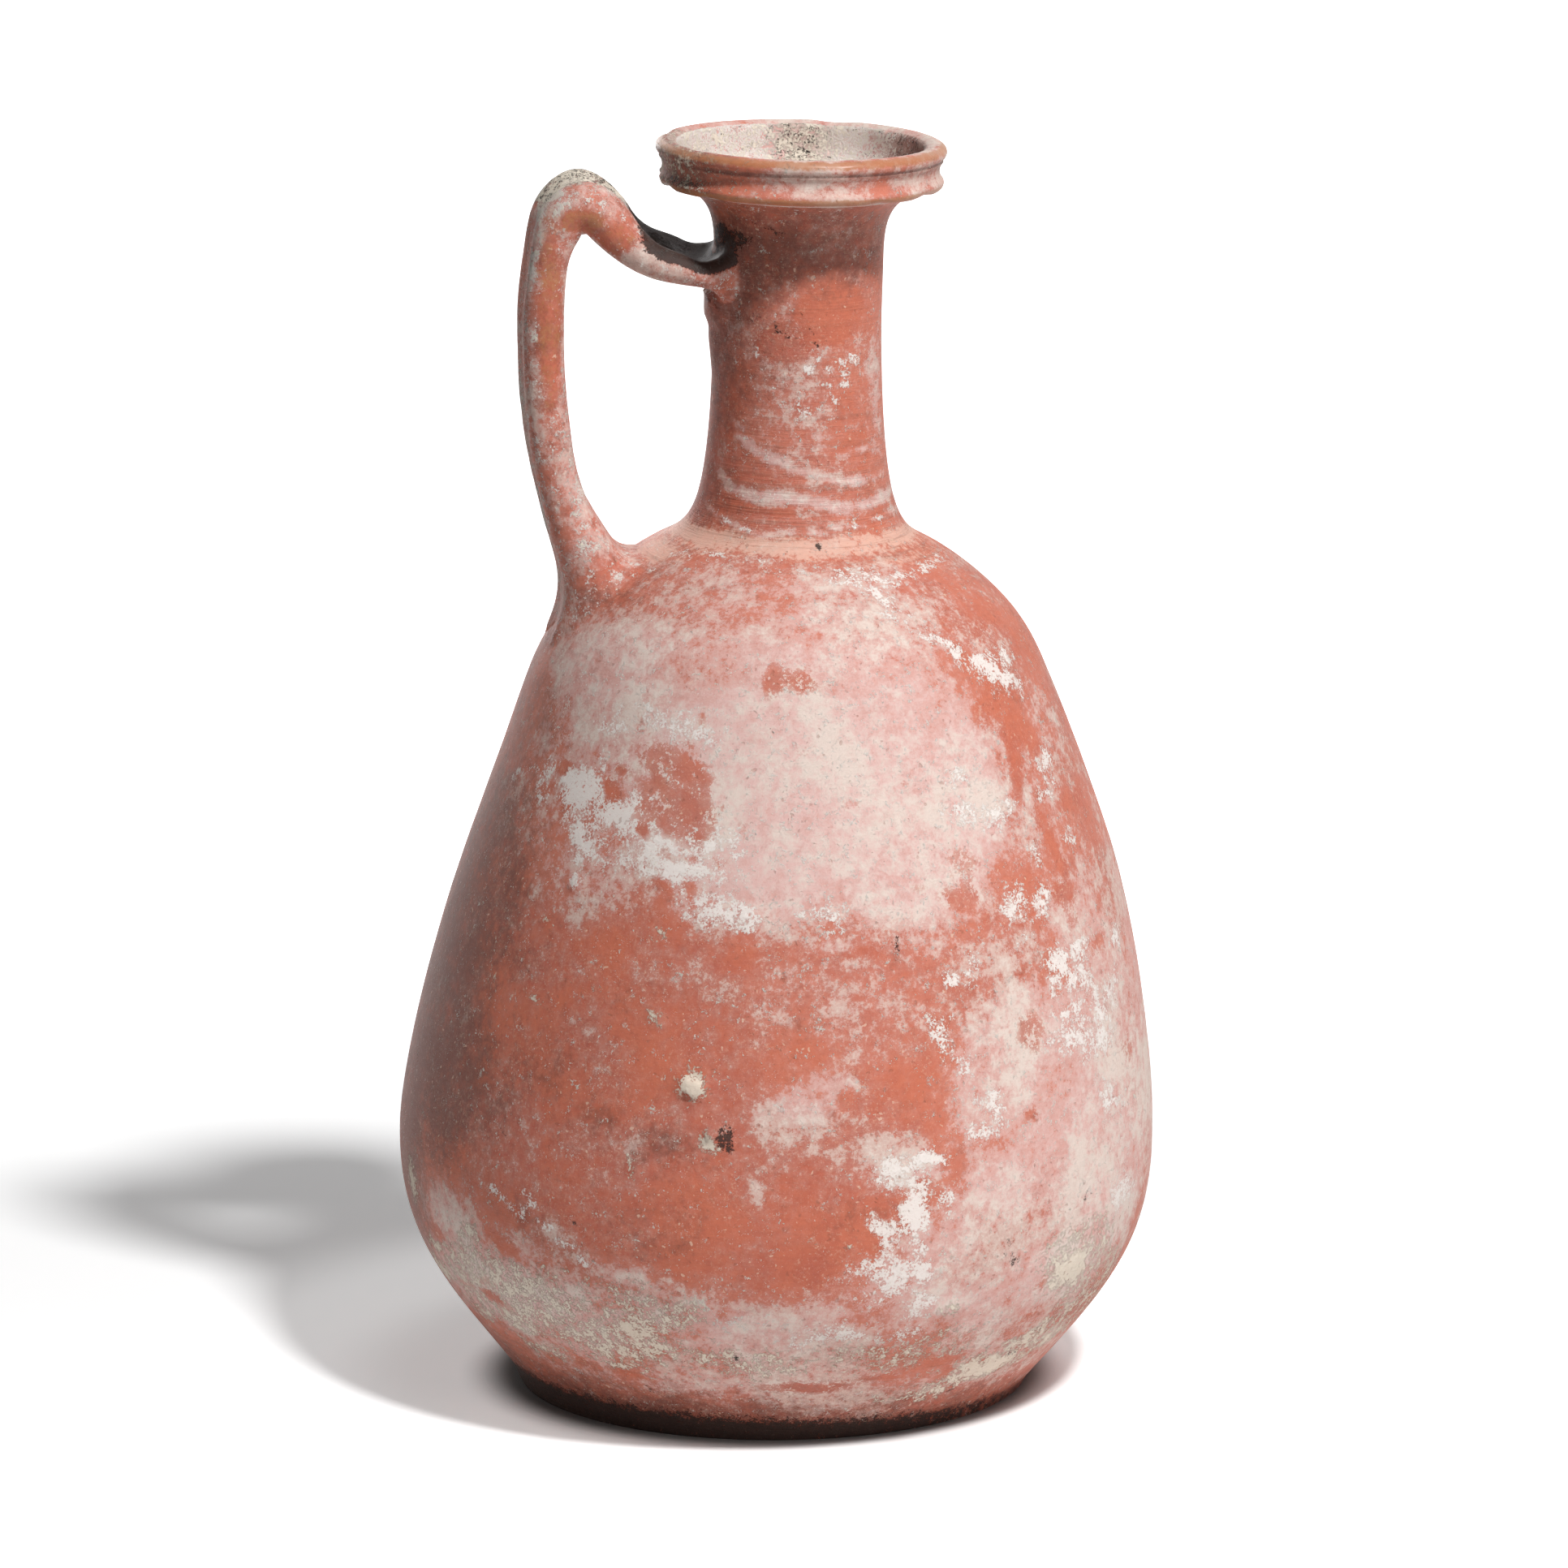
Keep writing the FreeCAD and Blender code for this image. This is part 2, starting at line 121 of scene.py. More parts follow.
# Marks on the turned surface. Each is: turn from the front towards the right in degrees,
# height up the turning axis, half width, half height, tilt in degrees (rising to the right), strength.
# The pale veil of lime, thin enough for the red slip to show through.
VEIL = (
    (-5, 112, 30, 22, 0, 1.0), (22, 112, 24, 24, 0, 0.93), (-32, 127, 22, 8, 0, 0.78),
    (-60, 108, 7, 7, 0, 0.5), (44, 116, 8, 14, 0, 0.6), (2, 139, 36, 5, 0, 0.86), (68, 119, 10, 12, 0, 0.55),
    (66, 94, 9, 9, 0, 0.6), (45, 100, 6, 8, 0, 0.62), (17, 58, 5, 6, 0, 0.5), (20, 53, 7, 3, 0, 0.95),
    (52, 60, 20, 24, 0, 0.82), (66, 45, 14, 20, 0, 0.85), (36, 48, 13, 10, 0, 0.88), (28, 40, 8, 11, 0, 0.8),
    (62, 80, 8, 8, 0, 0.75), (46, 38, 12, 8, 0, 0.66), (2, 41, 3, 2.5, 30, 0.6), (-3, 50, 2.2, 5, 20, 0.45),
    (-2, 59, 3, 7, 0, 0.5), (-7, 66, 3, 2, 0, 0.4), (11, 27, 15, 5, 0, 0.84), (-8, 22, 15, 6, 0, 0.9),
    (-22, 32, 9, 3, -10, 0.92), (-25, 24, 12, 6, 0, 0.9), (-56, 30, 12, 9, 0, 0.72),
    (-50, 38, 9, 4, -12, 0.6), (-35, 37, 5, 3, -20, 0.6), (10, 18, 18, 3, 0, 0.72), (56, 27, 12, 8, 0, 0.75),
    (-12, 14, 14, 2.5, 0, 0.7), (-45, 13, 14, 2.5, 0, 0.7), (62, 13, 10, 3, 0, 0.6),
    (-22, 6, 30, 1.8, 0, 0.4), (-41, 90, 3, 5, 0, 0.55), (-27, 88, 8, 3, 0, 0.35), (-27, 83, 4, 3, 0, 0.4),
    (8, 89, 10, 2.5, 0, 0.8), (25, 88, 9, 3, 0, 0.7), (-68, 97, 10, 8, 0, 0.35),
    (-15, 172, 6, 2.5, -10, 0.55), (66, 172, 6, 18, 0, 0.72), (60, 151, 8, 4, 0, 0.5),
    (-80, 176, 5, 14, 0, 0.35), (-72, 140, 12, 3, 0, 0.6), (110, 70, 26, 22, 0, 0.8),
    (205, 60, 24, 26, 10, 0.6), (250, 95, 18, 20, -15, 0.7), (120, 20, 20, 6, 0, 0.7),
    (250, 22, 30, 7, 0, 0.75), (165, 133, 40, 6, 0, 0.7), (230, 128, 24, 8, 0, 0.6),
    (100, 120, 12, 12, 0, 0.5), (140, 170, 6, 12, 0, 0.6), (200, 162, 8, 6, 20, 0.6),
    (0, 133, 38, 7, 0, 0.92), (0, 16, 40, 6, 0, 0.7), (-36, 15, 20, 6, 0, 0.78), (42, 17, 22, 6, 0, 0.72),
    (40, 88, 22, 12, 0, 0.5), (55, 105, 14, 16, 0, 0.56), (-52, 118, 18, 14, 0, 0.62),
    (10, 163, 20, 5, 0, 0.5), (-20, 40, 14, 8, 0, 0.3), (60, 138, 20, 8, 0, 0.5), (0, 143, 40, 3, 0, 0.8),
    (-50, 24, 26, 9, 0, 0.95), (-5, 20, 26, 5, 0, 0.92), (50, 30, 24, 10, 0, 0.9), (30, 30, 13, 8, 0, 0.72),
    (-35, 122, 24, 16, 0, 0.7), (-40, 100, 22, 12, 0, 0.6), (60, 85, 14, 14, 0, 0.7),
    (70, 60, 16, 30, 0, 0.75), (-60, 186, 10, 12, 0, 0.5), (4, 63, 8, 6, 20, 0.8),
    (-48, 128, 22, 10, 0, 0.85), (-30, 95, 10, 5, 0, 0.6), (-10, 12, 50, 5, 0, 0.8), (40, 12, 26, 5, 0, 0.75),
    (20, 33, 12, 9, 0, 0.9), (35, 22, 20, 6, 0, 0.9), (-20, 27, 24, 4, 0, 0.85), (-60, 34, 14, 8, 0, 0.75),
    (20, 53, 10, 5, 0, 0.85), (-75, 40, 8, 14, 0, 0.4), (30, 28, 22, 7, 0, 0.95), (-5, 24, 30, 6, 0, 0.95),
    (-45, 22, 24, 7, 0, 1.0), (60, 40, 14, 12, 0, 0.9), (-40, 132, 20, 8, 0, 0.8), (-14, 84, 8, 3, 0, 0.45),
    (46, 62, 26, 22, 0, 0.76), (52, 58, 16, 12, 0, 0.9), (12, 168, 12, 6, 0, 0.48), (-56, 20, 22, 6, 0, 1.0),
    (-35, 18, 22, 5, 0, 0.9), (-66, 22, 16, 8, 0, 0.95), (28, 172, 20, 28, 0, 0.46), (0, 192, 30, 6, 0, 0.3),
    (10, 78, 24, 14, 0, 0.47), (-58, 126, 12, 10, 0, 0.7), (150, 104, 34, 24, 0, 0.85),
    (212, 112, 26, 18, 0, 0.72), (190, 26, 70, 9, 0, 0.9), (242, 62, 20, 30, 0, 0.7),
    (112, 62, 22, 34, 0, 0.85), (175, 136, 44, 7, 0, 0.75), (180, 66, 16, 12, 20, 0.6),
    (160, 176, 12, 16, 0, 0.5), (-42, 33, 8, 3, 0, 0.8), (-34, 26, 12, 4, 0, 1.0), (46, 54, 12, 8, 0, 0.92),
    (-20, 76, 10, 6, 0, 0.35), (-10, 30, 16, 3, 0, 0.6), (84, 66, 10, 44, 0, 0.8), (-60, 26, 16, 6, 0, 1.0),
    (-30, 20, 20, 4, 0, 1.0),
)
# Smears of the same lime with clearer edges, most of them round the neck.
SMEARS = (
    (4, 63.2, 5.6, 4.4, 20, 0.8), (8, 66, 3, 2.2, 10, 0.75), (-2, 61, 2.4, 2.2, 0, 0.7),
    (22, 51, 6, 2.4, 0, 0.8), (24, 38, 3.4, 7, 10, 0.8), (-3, 49, 1.6, 4, 20, 0.6),
    (-52, 158.3, 3.8, 0.9, -22, 0.76), (-38, 156.4, 3.8, 1.0, -14, 0.86), (-26, 155.7, 3.2, 1.3, 0, 0.92),
    (-12, 156, 3.8, 1.3, 0, 1.0), (2, 155.5, 3.8, 1.2, -6, 0.97), (16, 154.8, 3.8, 1.2, -5, 0.97),
    (30, 154.2, 4.2, 1.5, 0, 0.92), (46, 154.6, 4.2, 1.4, 4, 0.97), (64, 155, 5.0, 1.3, 4, 0.97),
    (-41, 167, 3.0, 0.9, -20, 0.76), (-35, 165, 2.8, 1.3, -20, 0.92), (-26, 163.2, 3.2, 1.0, -14, 0.97),
    (-15, 162.3, 3.2, 1.2, -8, 1.0), (-6, 161.2, 2.5, 0.8, -14, 0.97), (5, 160.3, 3.2, 0.7, -4, 0.92),
    (15, 159.3, 3.0, 0.7, -8, 0.97), (26, 158.5, 3.5, 0.8, -2, 0.97), (42, 158.4, 4.0, 1.0, 4, 1.0),
    (58, 158.6, 4.0, 0.7, 2, 0.92), (34, 162.7, 3.2, 0.5, 0, 0.86), (47, 163.3, 3.2, 1.0, 4, 0.97),
    (61, 162.6, 3.5, 0.5, 0, 0.86), (14, 166, 2.2, 0.8, -25, 0.86), (19, 164.2, 1.8, 0.7, -10, 0.86),
    (2, 163.8, 1.8, 0.5, 0, 0.82), (95, 155.5, 6.2, 1.2, 0, 0.97), (120, 154.6, 6.2, 1.3, -4, 0.97),
    (150, 156, 6.2, 1.2, 6, 0.97), (180, 158, 6.2, 1.0, 5, 0.97), (215, 156.5, 6.2, 1.3, -6, 0.97),
    (245, 155, 5.0, 1.3, -4, 0.97), (110, 164, 6.2, 0.9, 8, 0.92), (160, 167, 6.2, 1.0, -8, 0.92),
    (210, 165, 6.2, 0.9, 6, 0.92), (-58, 152.6, 2.9, 0.5, -18, 1.0), (-42, 151.2, 2.9, 0.5, -10, 1.0),
    (-29, 150.4, 2.6, 0.5, -6, 1.0), (-17, 149.8, 2.6, 0.5, 2, 1.0), (-3, 150.5, 2.6, 0.5, 2, 1.0),
    (10, 150.6, 2.9, 0.5, 2, 1.0), (23.5, 151.2, 1.8, 0.5, 0, 1.0), (36, 151.2, 2.9, 0.5, 2, 1.0),
    (52, 151.7, 2.9, 0.5, 3, 1.0), (70, 152.2, 3.3, 0.5, 3, 1.0), (100, 151.8, 5.5, 0.5, 0, 1.0),
    (135, 151, 5.5, 0.5, -2, 1.0), (170, 150.8, 5.5, 0.5, 0, 1.0), (205, 151.6, 5.5, 0.5, 2, 1.0),
    (240, 152.4, 5.5, 0.5, 2, 1.0),
)
# Opaque white crust with ragged edges.
CRUST = (
    (-45, 110, 6, 3.2, 0, 0.82), (-34, 106, 6.5, 2.4, 0, 1.0), (-42, 103, 5, 2.2, -28, 0.85),
    (-26, 104, 4.5, 2.3, 0, 1.0), (-18.5, 102.5, 4.6, 1.9, 0, 1.0), (-22, 98.6, 8, 1.5, 0, 1.0),
    (-31, 98.5, 4, 1.6, 0, 0.6), (-39, 100, 3, 1.6, 0, 0.7), (-20, 96.4, 1.6, 1.4, 0, 0.8),
    (-13, 93.5, 5, 2.2, -12, 0.75), (-8.2, 92.3, 1.4, 1.5, 0, 1.0), (-30, 123.3, 5, 1.0, 0, 0.7),
    (-22, 121.8, 5, 1.0, -8, 0.8), (-41, 120.5, 4, 1.2, 10, 0.6), (-23.2, 112, 1.2, 0.9, -30, 1.0),
    (-23, 106.7, 1.7, 0.8, -25, 1.0), (-31.8, 108.3, 1.7, 1.1, 0, 1.0), (-17, 111.7, 1.1, 0.6, 0, 0.9),
    (-20.5, 111.4, 0.9, 0.6, 0, 0.9), (-40.5, 113.6, 1.0, 1.0, 0, 0.8), (-58, 111, 2.2, 2.0, 0, 0.65),
    (-56.5, 107.5, 1.8, 2.6, 0, 0.65), (-70, 108, 3.5, 0.9, 12, 0.6), (-41, 98.8, 1.4, 1.4, 0, 0.9),
    (-41, 94.3, 1.3, 1.2, 0, 0.8), (-27, 101.2, 4, 0.9, 0, 0.7), (-13.5, 104, 4, 2.5, 0, 0.6),
    (-15.7, 103, 1.5, 1.6, 0, 0.8), (-34, 124, 5, 0.8, 6, 0.55), (3, 94, 2, 1.2, 0, 0.6),
    (6.5, 93.3, 2, 1.5, 0, 0.75), (49.5, 91.5, 2.6, 1.6, 0, 0.9), (52, 93.3, 2.2, 1.0, 25, 0.8),
    (43.5, 93, 2.6, 1.6, 0, 0.8), (43, 88.2, 2.6, 1.2, 0, 0.55), (50.5, 82.5, 3.2, 2.4, 0, 0.85),
    (57, 83.5, 3.6, 2.2, 0, 0.8), (55, 79, 4.4, 2.6, 0, 0.72), (48.5, 79, 1.7, 1.6, 0, 0.75),
    (60, 76, 3, 1.6, 0, 0.7), (25.6, 75.3, 2.2, 1.0, 0, 0.95), (24, 73, 1.8, 1.4, 0, 0.7),
    (25.5, 71, 1.5, 2.5, 0, 0.7), (29, 82.4, 2.0, 1.2, 15, 0.85), (31.5, 84.5, 1.4, 3.4, -25, 0.6),
    (52, 73, 4, 1.5, -10, 0.85), (52, 69.5, 6, 2.4, 0, 0.62), (61, 71, 4.5, 2.2, -25, 0.68),
    (65.5, 74.3, 2.6, 1.4, 0, 1.0), (60, 67.5, 4, 2.2, 0, 0.66), (56, 66, 3, 1.6, 0, 0.6),
    (72, 82, 2.4, 1.8, 0, 0.9), (68, 76.8, 2, 1.0, 0, 0.7), (36, 113, 2.6, 2.2, 0, 0.5),
    (36.5, 108, 3, 1.4, 0, 0.7), (31, 108.3, 1.8, 1.0, 0, 0.55), (52, 130, 5, 1.6, -25, 0.95),
    (57, 127.6, 4, 1.8, 0, 0.9), (60.5, 131, 3, 1.4, 0, 0.8), (62.5, 125, 2.4, 1.6, 0, 0.7),
    (42, 106.5, 4, 1.8, 0, 0.62), (47, 107.5, 3, 1.6, 0, 0.6), (50, 100, 1.8, 1.6, 30, 0.7),
    (63, 113.5, 3.5, 2.2, 0, 0.62), (60, 108.7, 4, 1.6, 0, 0.62), (63, 101, 2, 1.6, 0, 0.6),
    (19, 53, 4.6, 1.5, 0, 0.85), (22.6, 53, 2.0, 1.8, 0, 1.0), (16.5, 51, 2.2, 1.6, 0, 0.7),
    (21.3, 45, 2.6, 4.2, 12, 1.0), (16.6, 41.5, 2.4, 2.0, -40, 1.0), (17.3, 38.5, 2.0, 2.4, 0, 1.0),
    (14.5, 36, 3.6, 1.4, 20, 0.85), (18, 33.6, 3.6, 2.2, 0, 0.95), (22.6, 33.8, 2.2, 2.4, 0, 0.9),
    (22.7, 38.5, 1.2, 2.4, 0, 0.8), (17, 30.5, 3, 1.3, 0, 0.8), (12, 21.8, 8, 1.4, 0, 0.7),
    (21, 22.4, 5, 1.4, 0, 0.6), (24, 28, 3, 2.6, 0, 0.62), (27, 46.5, 2, 2.8, 0, 0.6),
    (33, 62, 2.2, 1.4, 0, 0.85), (34.6, 59.6, 1.7, 2.0, 0, 0.9), (32, 56.8, 2.6, 0.9, 0, 0.85),
    (61, 58, 3.6, 2.6, 0, 0.65), (66.5, 56.5, 2.2, 1.4, 0, 0.65), (29.7, 68.2, 1.4, 1.2, 0, 0.7),
    (66, 40, 5, 3.6, 0, 0.6), (-29, 33, 1.6, 1.0, 0, 0.7), (-36, 38.6, 2.6, 0.8, -25, 0.75),
    (-42, 40.3, 3, 0.8, -20, 0.75), (-48, 42.3, 3.2, 0.7, -15, 0.75), (-39, 43.3, 1.3, 1.0, -50, 0.7),
    (-33, 35.2, 1.6, 1.0, 0, 0.75), (-8, 25, 2.6, 1.6, 0, 0.6), (-11.5, 28, 4, 0.9, -15, 0.6),
    (-42, 151.2, 1.2, 0.4, -10, 0.7), (-29, 150.4, 1.2, 0.4, -6, 0.7), (36, 151.2, 1.2, 0.4, 2, 0.7),
    (52, 151.7, 1.2, 0.4, 3, 0.7), (5, 178.4, 0.5, 0.5, 0, 0.9), (8.5, 177.4, 0.8, 0.7, 0, 1.0),
    (15, 178.9, 0.5, 0.4, 30, 1.0), (12, 178.2, 0.5, 0.4, 30, 0.8), (32, 178.5, 1.1, 0.5, -20, 1.0),
    (42, 179, 0.9, 0.6, 0, 1.0), (46, 178.2, 0.8, 0.4, 0, 0.9), (23, 177.2, 0.7, 0.5, 0, 0.8),
    (23.5, 174.3, 0.6, 1.0, 0, 0.8), (34, 176.6, 0.8, 0.4, 0, 0.8), (33, 174.8, 1.2, 0.4, 0, 0.8),
    (14, 175.1, 0.7, 0.3, 0, 0.9), (27, 172.2, 0.6, 0.5, 0, 0.8), (24.5, 169.5, 0.6, 0.5, 0, 0.8),
    (-26, 179.8, 1.2, 0.5, 0, 0.55), (2, 170.5, 2.4, 1.4, 0, 0.5), (55, 195.8, 0.8, 0.6, 0, 0.75),
    (60, 200.6, 0.7, 0.4, 0, 0.7), (-20, 205, 4, 0.5, 0, 0.4), (22, 143.9, 4, 0.8, 0, 0.72),
    (31, 143.5, 4, 0.8, 0, 0.68), (43, 143.8, 4.4, 0.5, 4, 0.68), (57, 144.3, 5, 0.5, 4, 0.68),
    (72, 144.6, 5, 0.5, 2, 0.65), (29, 141.4, 3, 1.0, -30, 0.76), (33, 138.4, 3, 1.0, 0, 0.48),
    (28, 139, 4, 0.8, 0, 0.44), (41, 135.2, 3.4, 1.0, -20, 0.72), (45.5, 132.8, 3.6, 1.0, -30, 0.76),
    (58, 132, 3.4, 1.0, 0, 0.64), (-30, 146.3, 7, 0.28, 0, 0.61), (-12, 146.3, 6, 0.24, 0, 0.58),
    (3, 145.3, 6, 0.22, 0, 0.54), (22, 145.2, 6, 0.22, 0, 0.54), (-62, 145.4, 8, 0.3, 3, 0.5),
    (-76, 142.4, 5, 0.5, 0, 0.56), (-57, 143, 3, 0.6, 0, 0.43), (-30, 134, 0.9, 0.6, 0, 0.4),
    (95, 92, 7, 4, 0, 0.9), (104, 84, 4, 6, 10, 0.8), (128, 112, 9, 3.5, -10, 0.9), (140, 100, 5, 4, 0, 0.8),
    (175, 118, 8, 2.4, 8, 0.8), (162, 72, 6, 4, 0, 0.8), (170, 64, 4, 6, 15, 0.8), (214, 84, 9, 3.4, 14, 0.9),
    (224, 96, 5, 5, 0, 0.8), (240, 60, 6, 4, 0, 0.8), (255, 72, 4, 6, 0, 0.7), (200, 40, 10, 3, 0, 0.7),
    (118, 44, 7, 6, 0, 0.8), (140, 30, 10, 2.4, 0, 0.8), (232, 34, 9, 2.4, -10, 0.8),
    (130, 145, 9, 0.5, 3, 0.65), (190, 144, 10, 0.4, -3, 0.61), (235, 145, 8, 0.4, 2, 0.58),
    (150, 178, 1.6, 0.7, 20, 0.9), (185, 181, 1.4, 0.6, 0, 0.9),
)
# Thick warm cream crust, mostly low on the belly.
CREAM = (
    (52.5, 29, 5, 2.8, 0, 1.0), (44, 12.4, 8, 2.2, 8, 1.0), (37, 10.3, 6, 1.1, 8, 1.0),
    (50, 17.4, 5, 1.4, 8, 0.9), (29, 8.2, 6, 0.9, 5, 0.8), (56, 15.5, 5, 1.8, 0, 0.7),
    (-40, 21, 5, 1.3, 0, 0.85), (-45, 23.5, 3, 1.5, 0, 0.7), (-22.5, 22, 5, 2.2, 0, 0.85),
    (-19, 17.7, 2.8, 1.3, 0, 1.0), (-25, 18.5, 6, 1.2, 0, 0.75), (-49, 17.6, 6, 1.0, 0, 0.85),
    (-8, 19, 1.4, 0.6, 0, 1.0), (-53.6, 32.5, 1.2, 1.8, 0, 1.0), (-49.5, 29.3, 2.2, 1.0, -45, 0.95),
    (-56, 30.8, 2, 0.8, 25, 0.8), (-66, 27.8, 5, 0.9, 8, 0.95), (-70, 22, 5, 2.6, 0, 0.8),
    (-74, 37, 2, 3.4, 0, 0.8), (-36, 30, 3.4, 1.4, 0, 0.6), (-34, 24, 5, 1.6, 0, 0.6),
    (-28, 14, 6, 1.0, 0, 0.7), (-45, 13.6, 6, 1.4, 0, 0.75), (-60, 17, 6, 1.4, 0, 0.7),
    (28.3, 26.4, 1.6, 1.0, 0, 1.0), (10.6, 39.2, 0.9, 0.9, 0, 1.0), (5.2, 36.4, 1.1, 0.5, 10, 1.0),
    (-5, 14, 5, 1.0, 0, 0.6), (6, 40.3, 1.8, 0.25, 0, 0.9), (-14, 65, 1.7, 1.9, 0, 1.0),
    (-10.8, 57.3, 1.4, 1.2, -20, 1.0), (-21.7, 50.9, 0.7, 1.3, -15, 1.0), (-22, 76, 1.2, 0.5, -35, 1.0),
    (-23, 88.4, 1.6, 0.5, 25, 0.9), (-32, 78.5, 0.8, 0.4, -30, 0.9), (-44, 74.6, 1.4, 0.4, 10, 0.9),
    (-56.5, 77.7, 0.9, 0.5, -20, 0.9), (-45, 88.3, 0.8, 0.4, 0, 0.8), (-35.5, 78.7, 0.6, 0.4, 0, 0.8),
    (-24, 29.5, 7, 1.4, 0, 0.6), (-15, 27.5, 4, 1.2, 0, 0.7), (-26, 99.5, 0.6, 0.4, 0, 0.6),
    (110, 15, 14, 2.0, -3, 0.9), (160, 19, 16, 1.8, 3, 0.85), (205, 14, 14, 2.2, 0, 0.9),
    (245, 20, 12, 2.0, -5, 0.9), (130, 58, 2.0, 2.4, 0, 1.0), (188, 88, 1.6, 1.8, 0, 1.0),
    (222, 48, 2.0, 1.4, 0, 1.0), (265, 40, 5, 3, 0, 0.8), (46, 14, 14, 3, 8, 0.46), (55, 32, 12, 7, 0, 0.42),
    (-50, 24, 18, 7, 0, 0.53), (-28, 18, 14, 4, 0, 0.56), (-20, 25, 12, 4, 0, 0.48), (-5, 17, 14, 3, 0, 0.47),
    (22, 18, 14, 4, 0, 0.42), (64, 22, 12, 8, 0, 0.46), (150, 24, 22, 5, 0, 0.5), (225, 22, 20, 5, 0, 0.5),
)
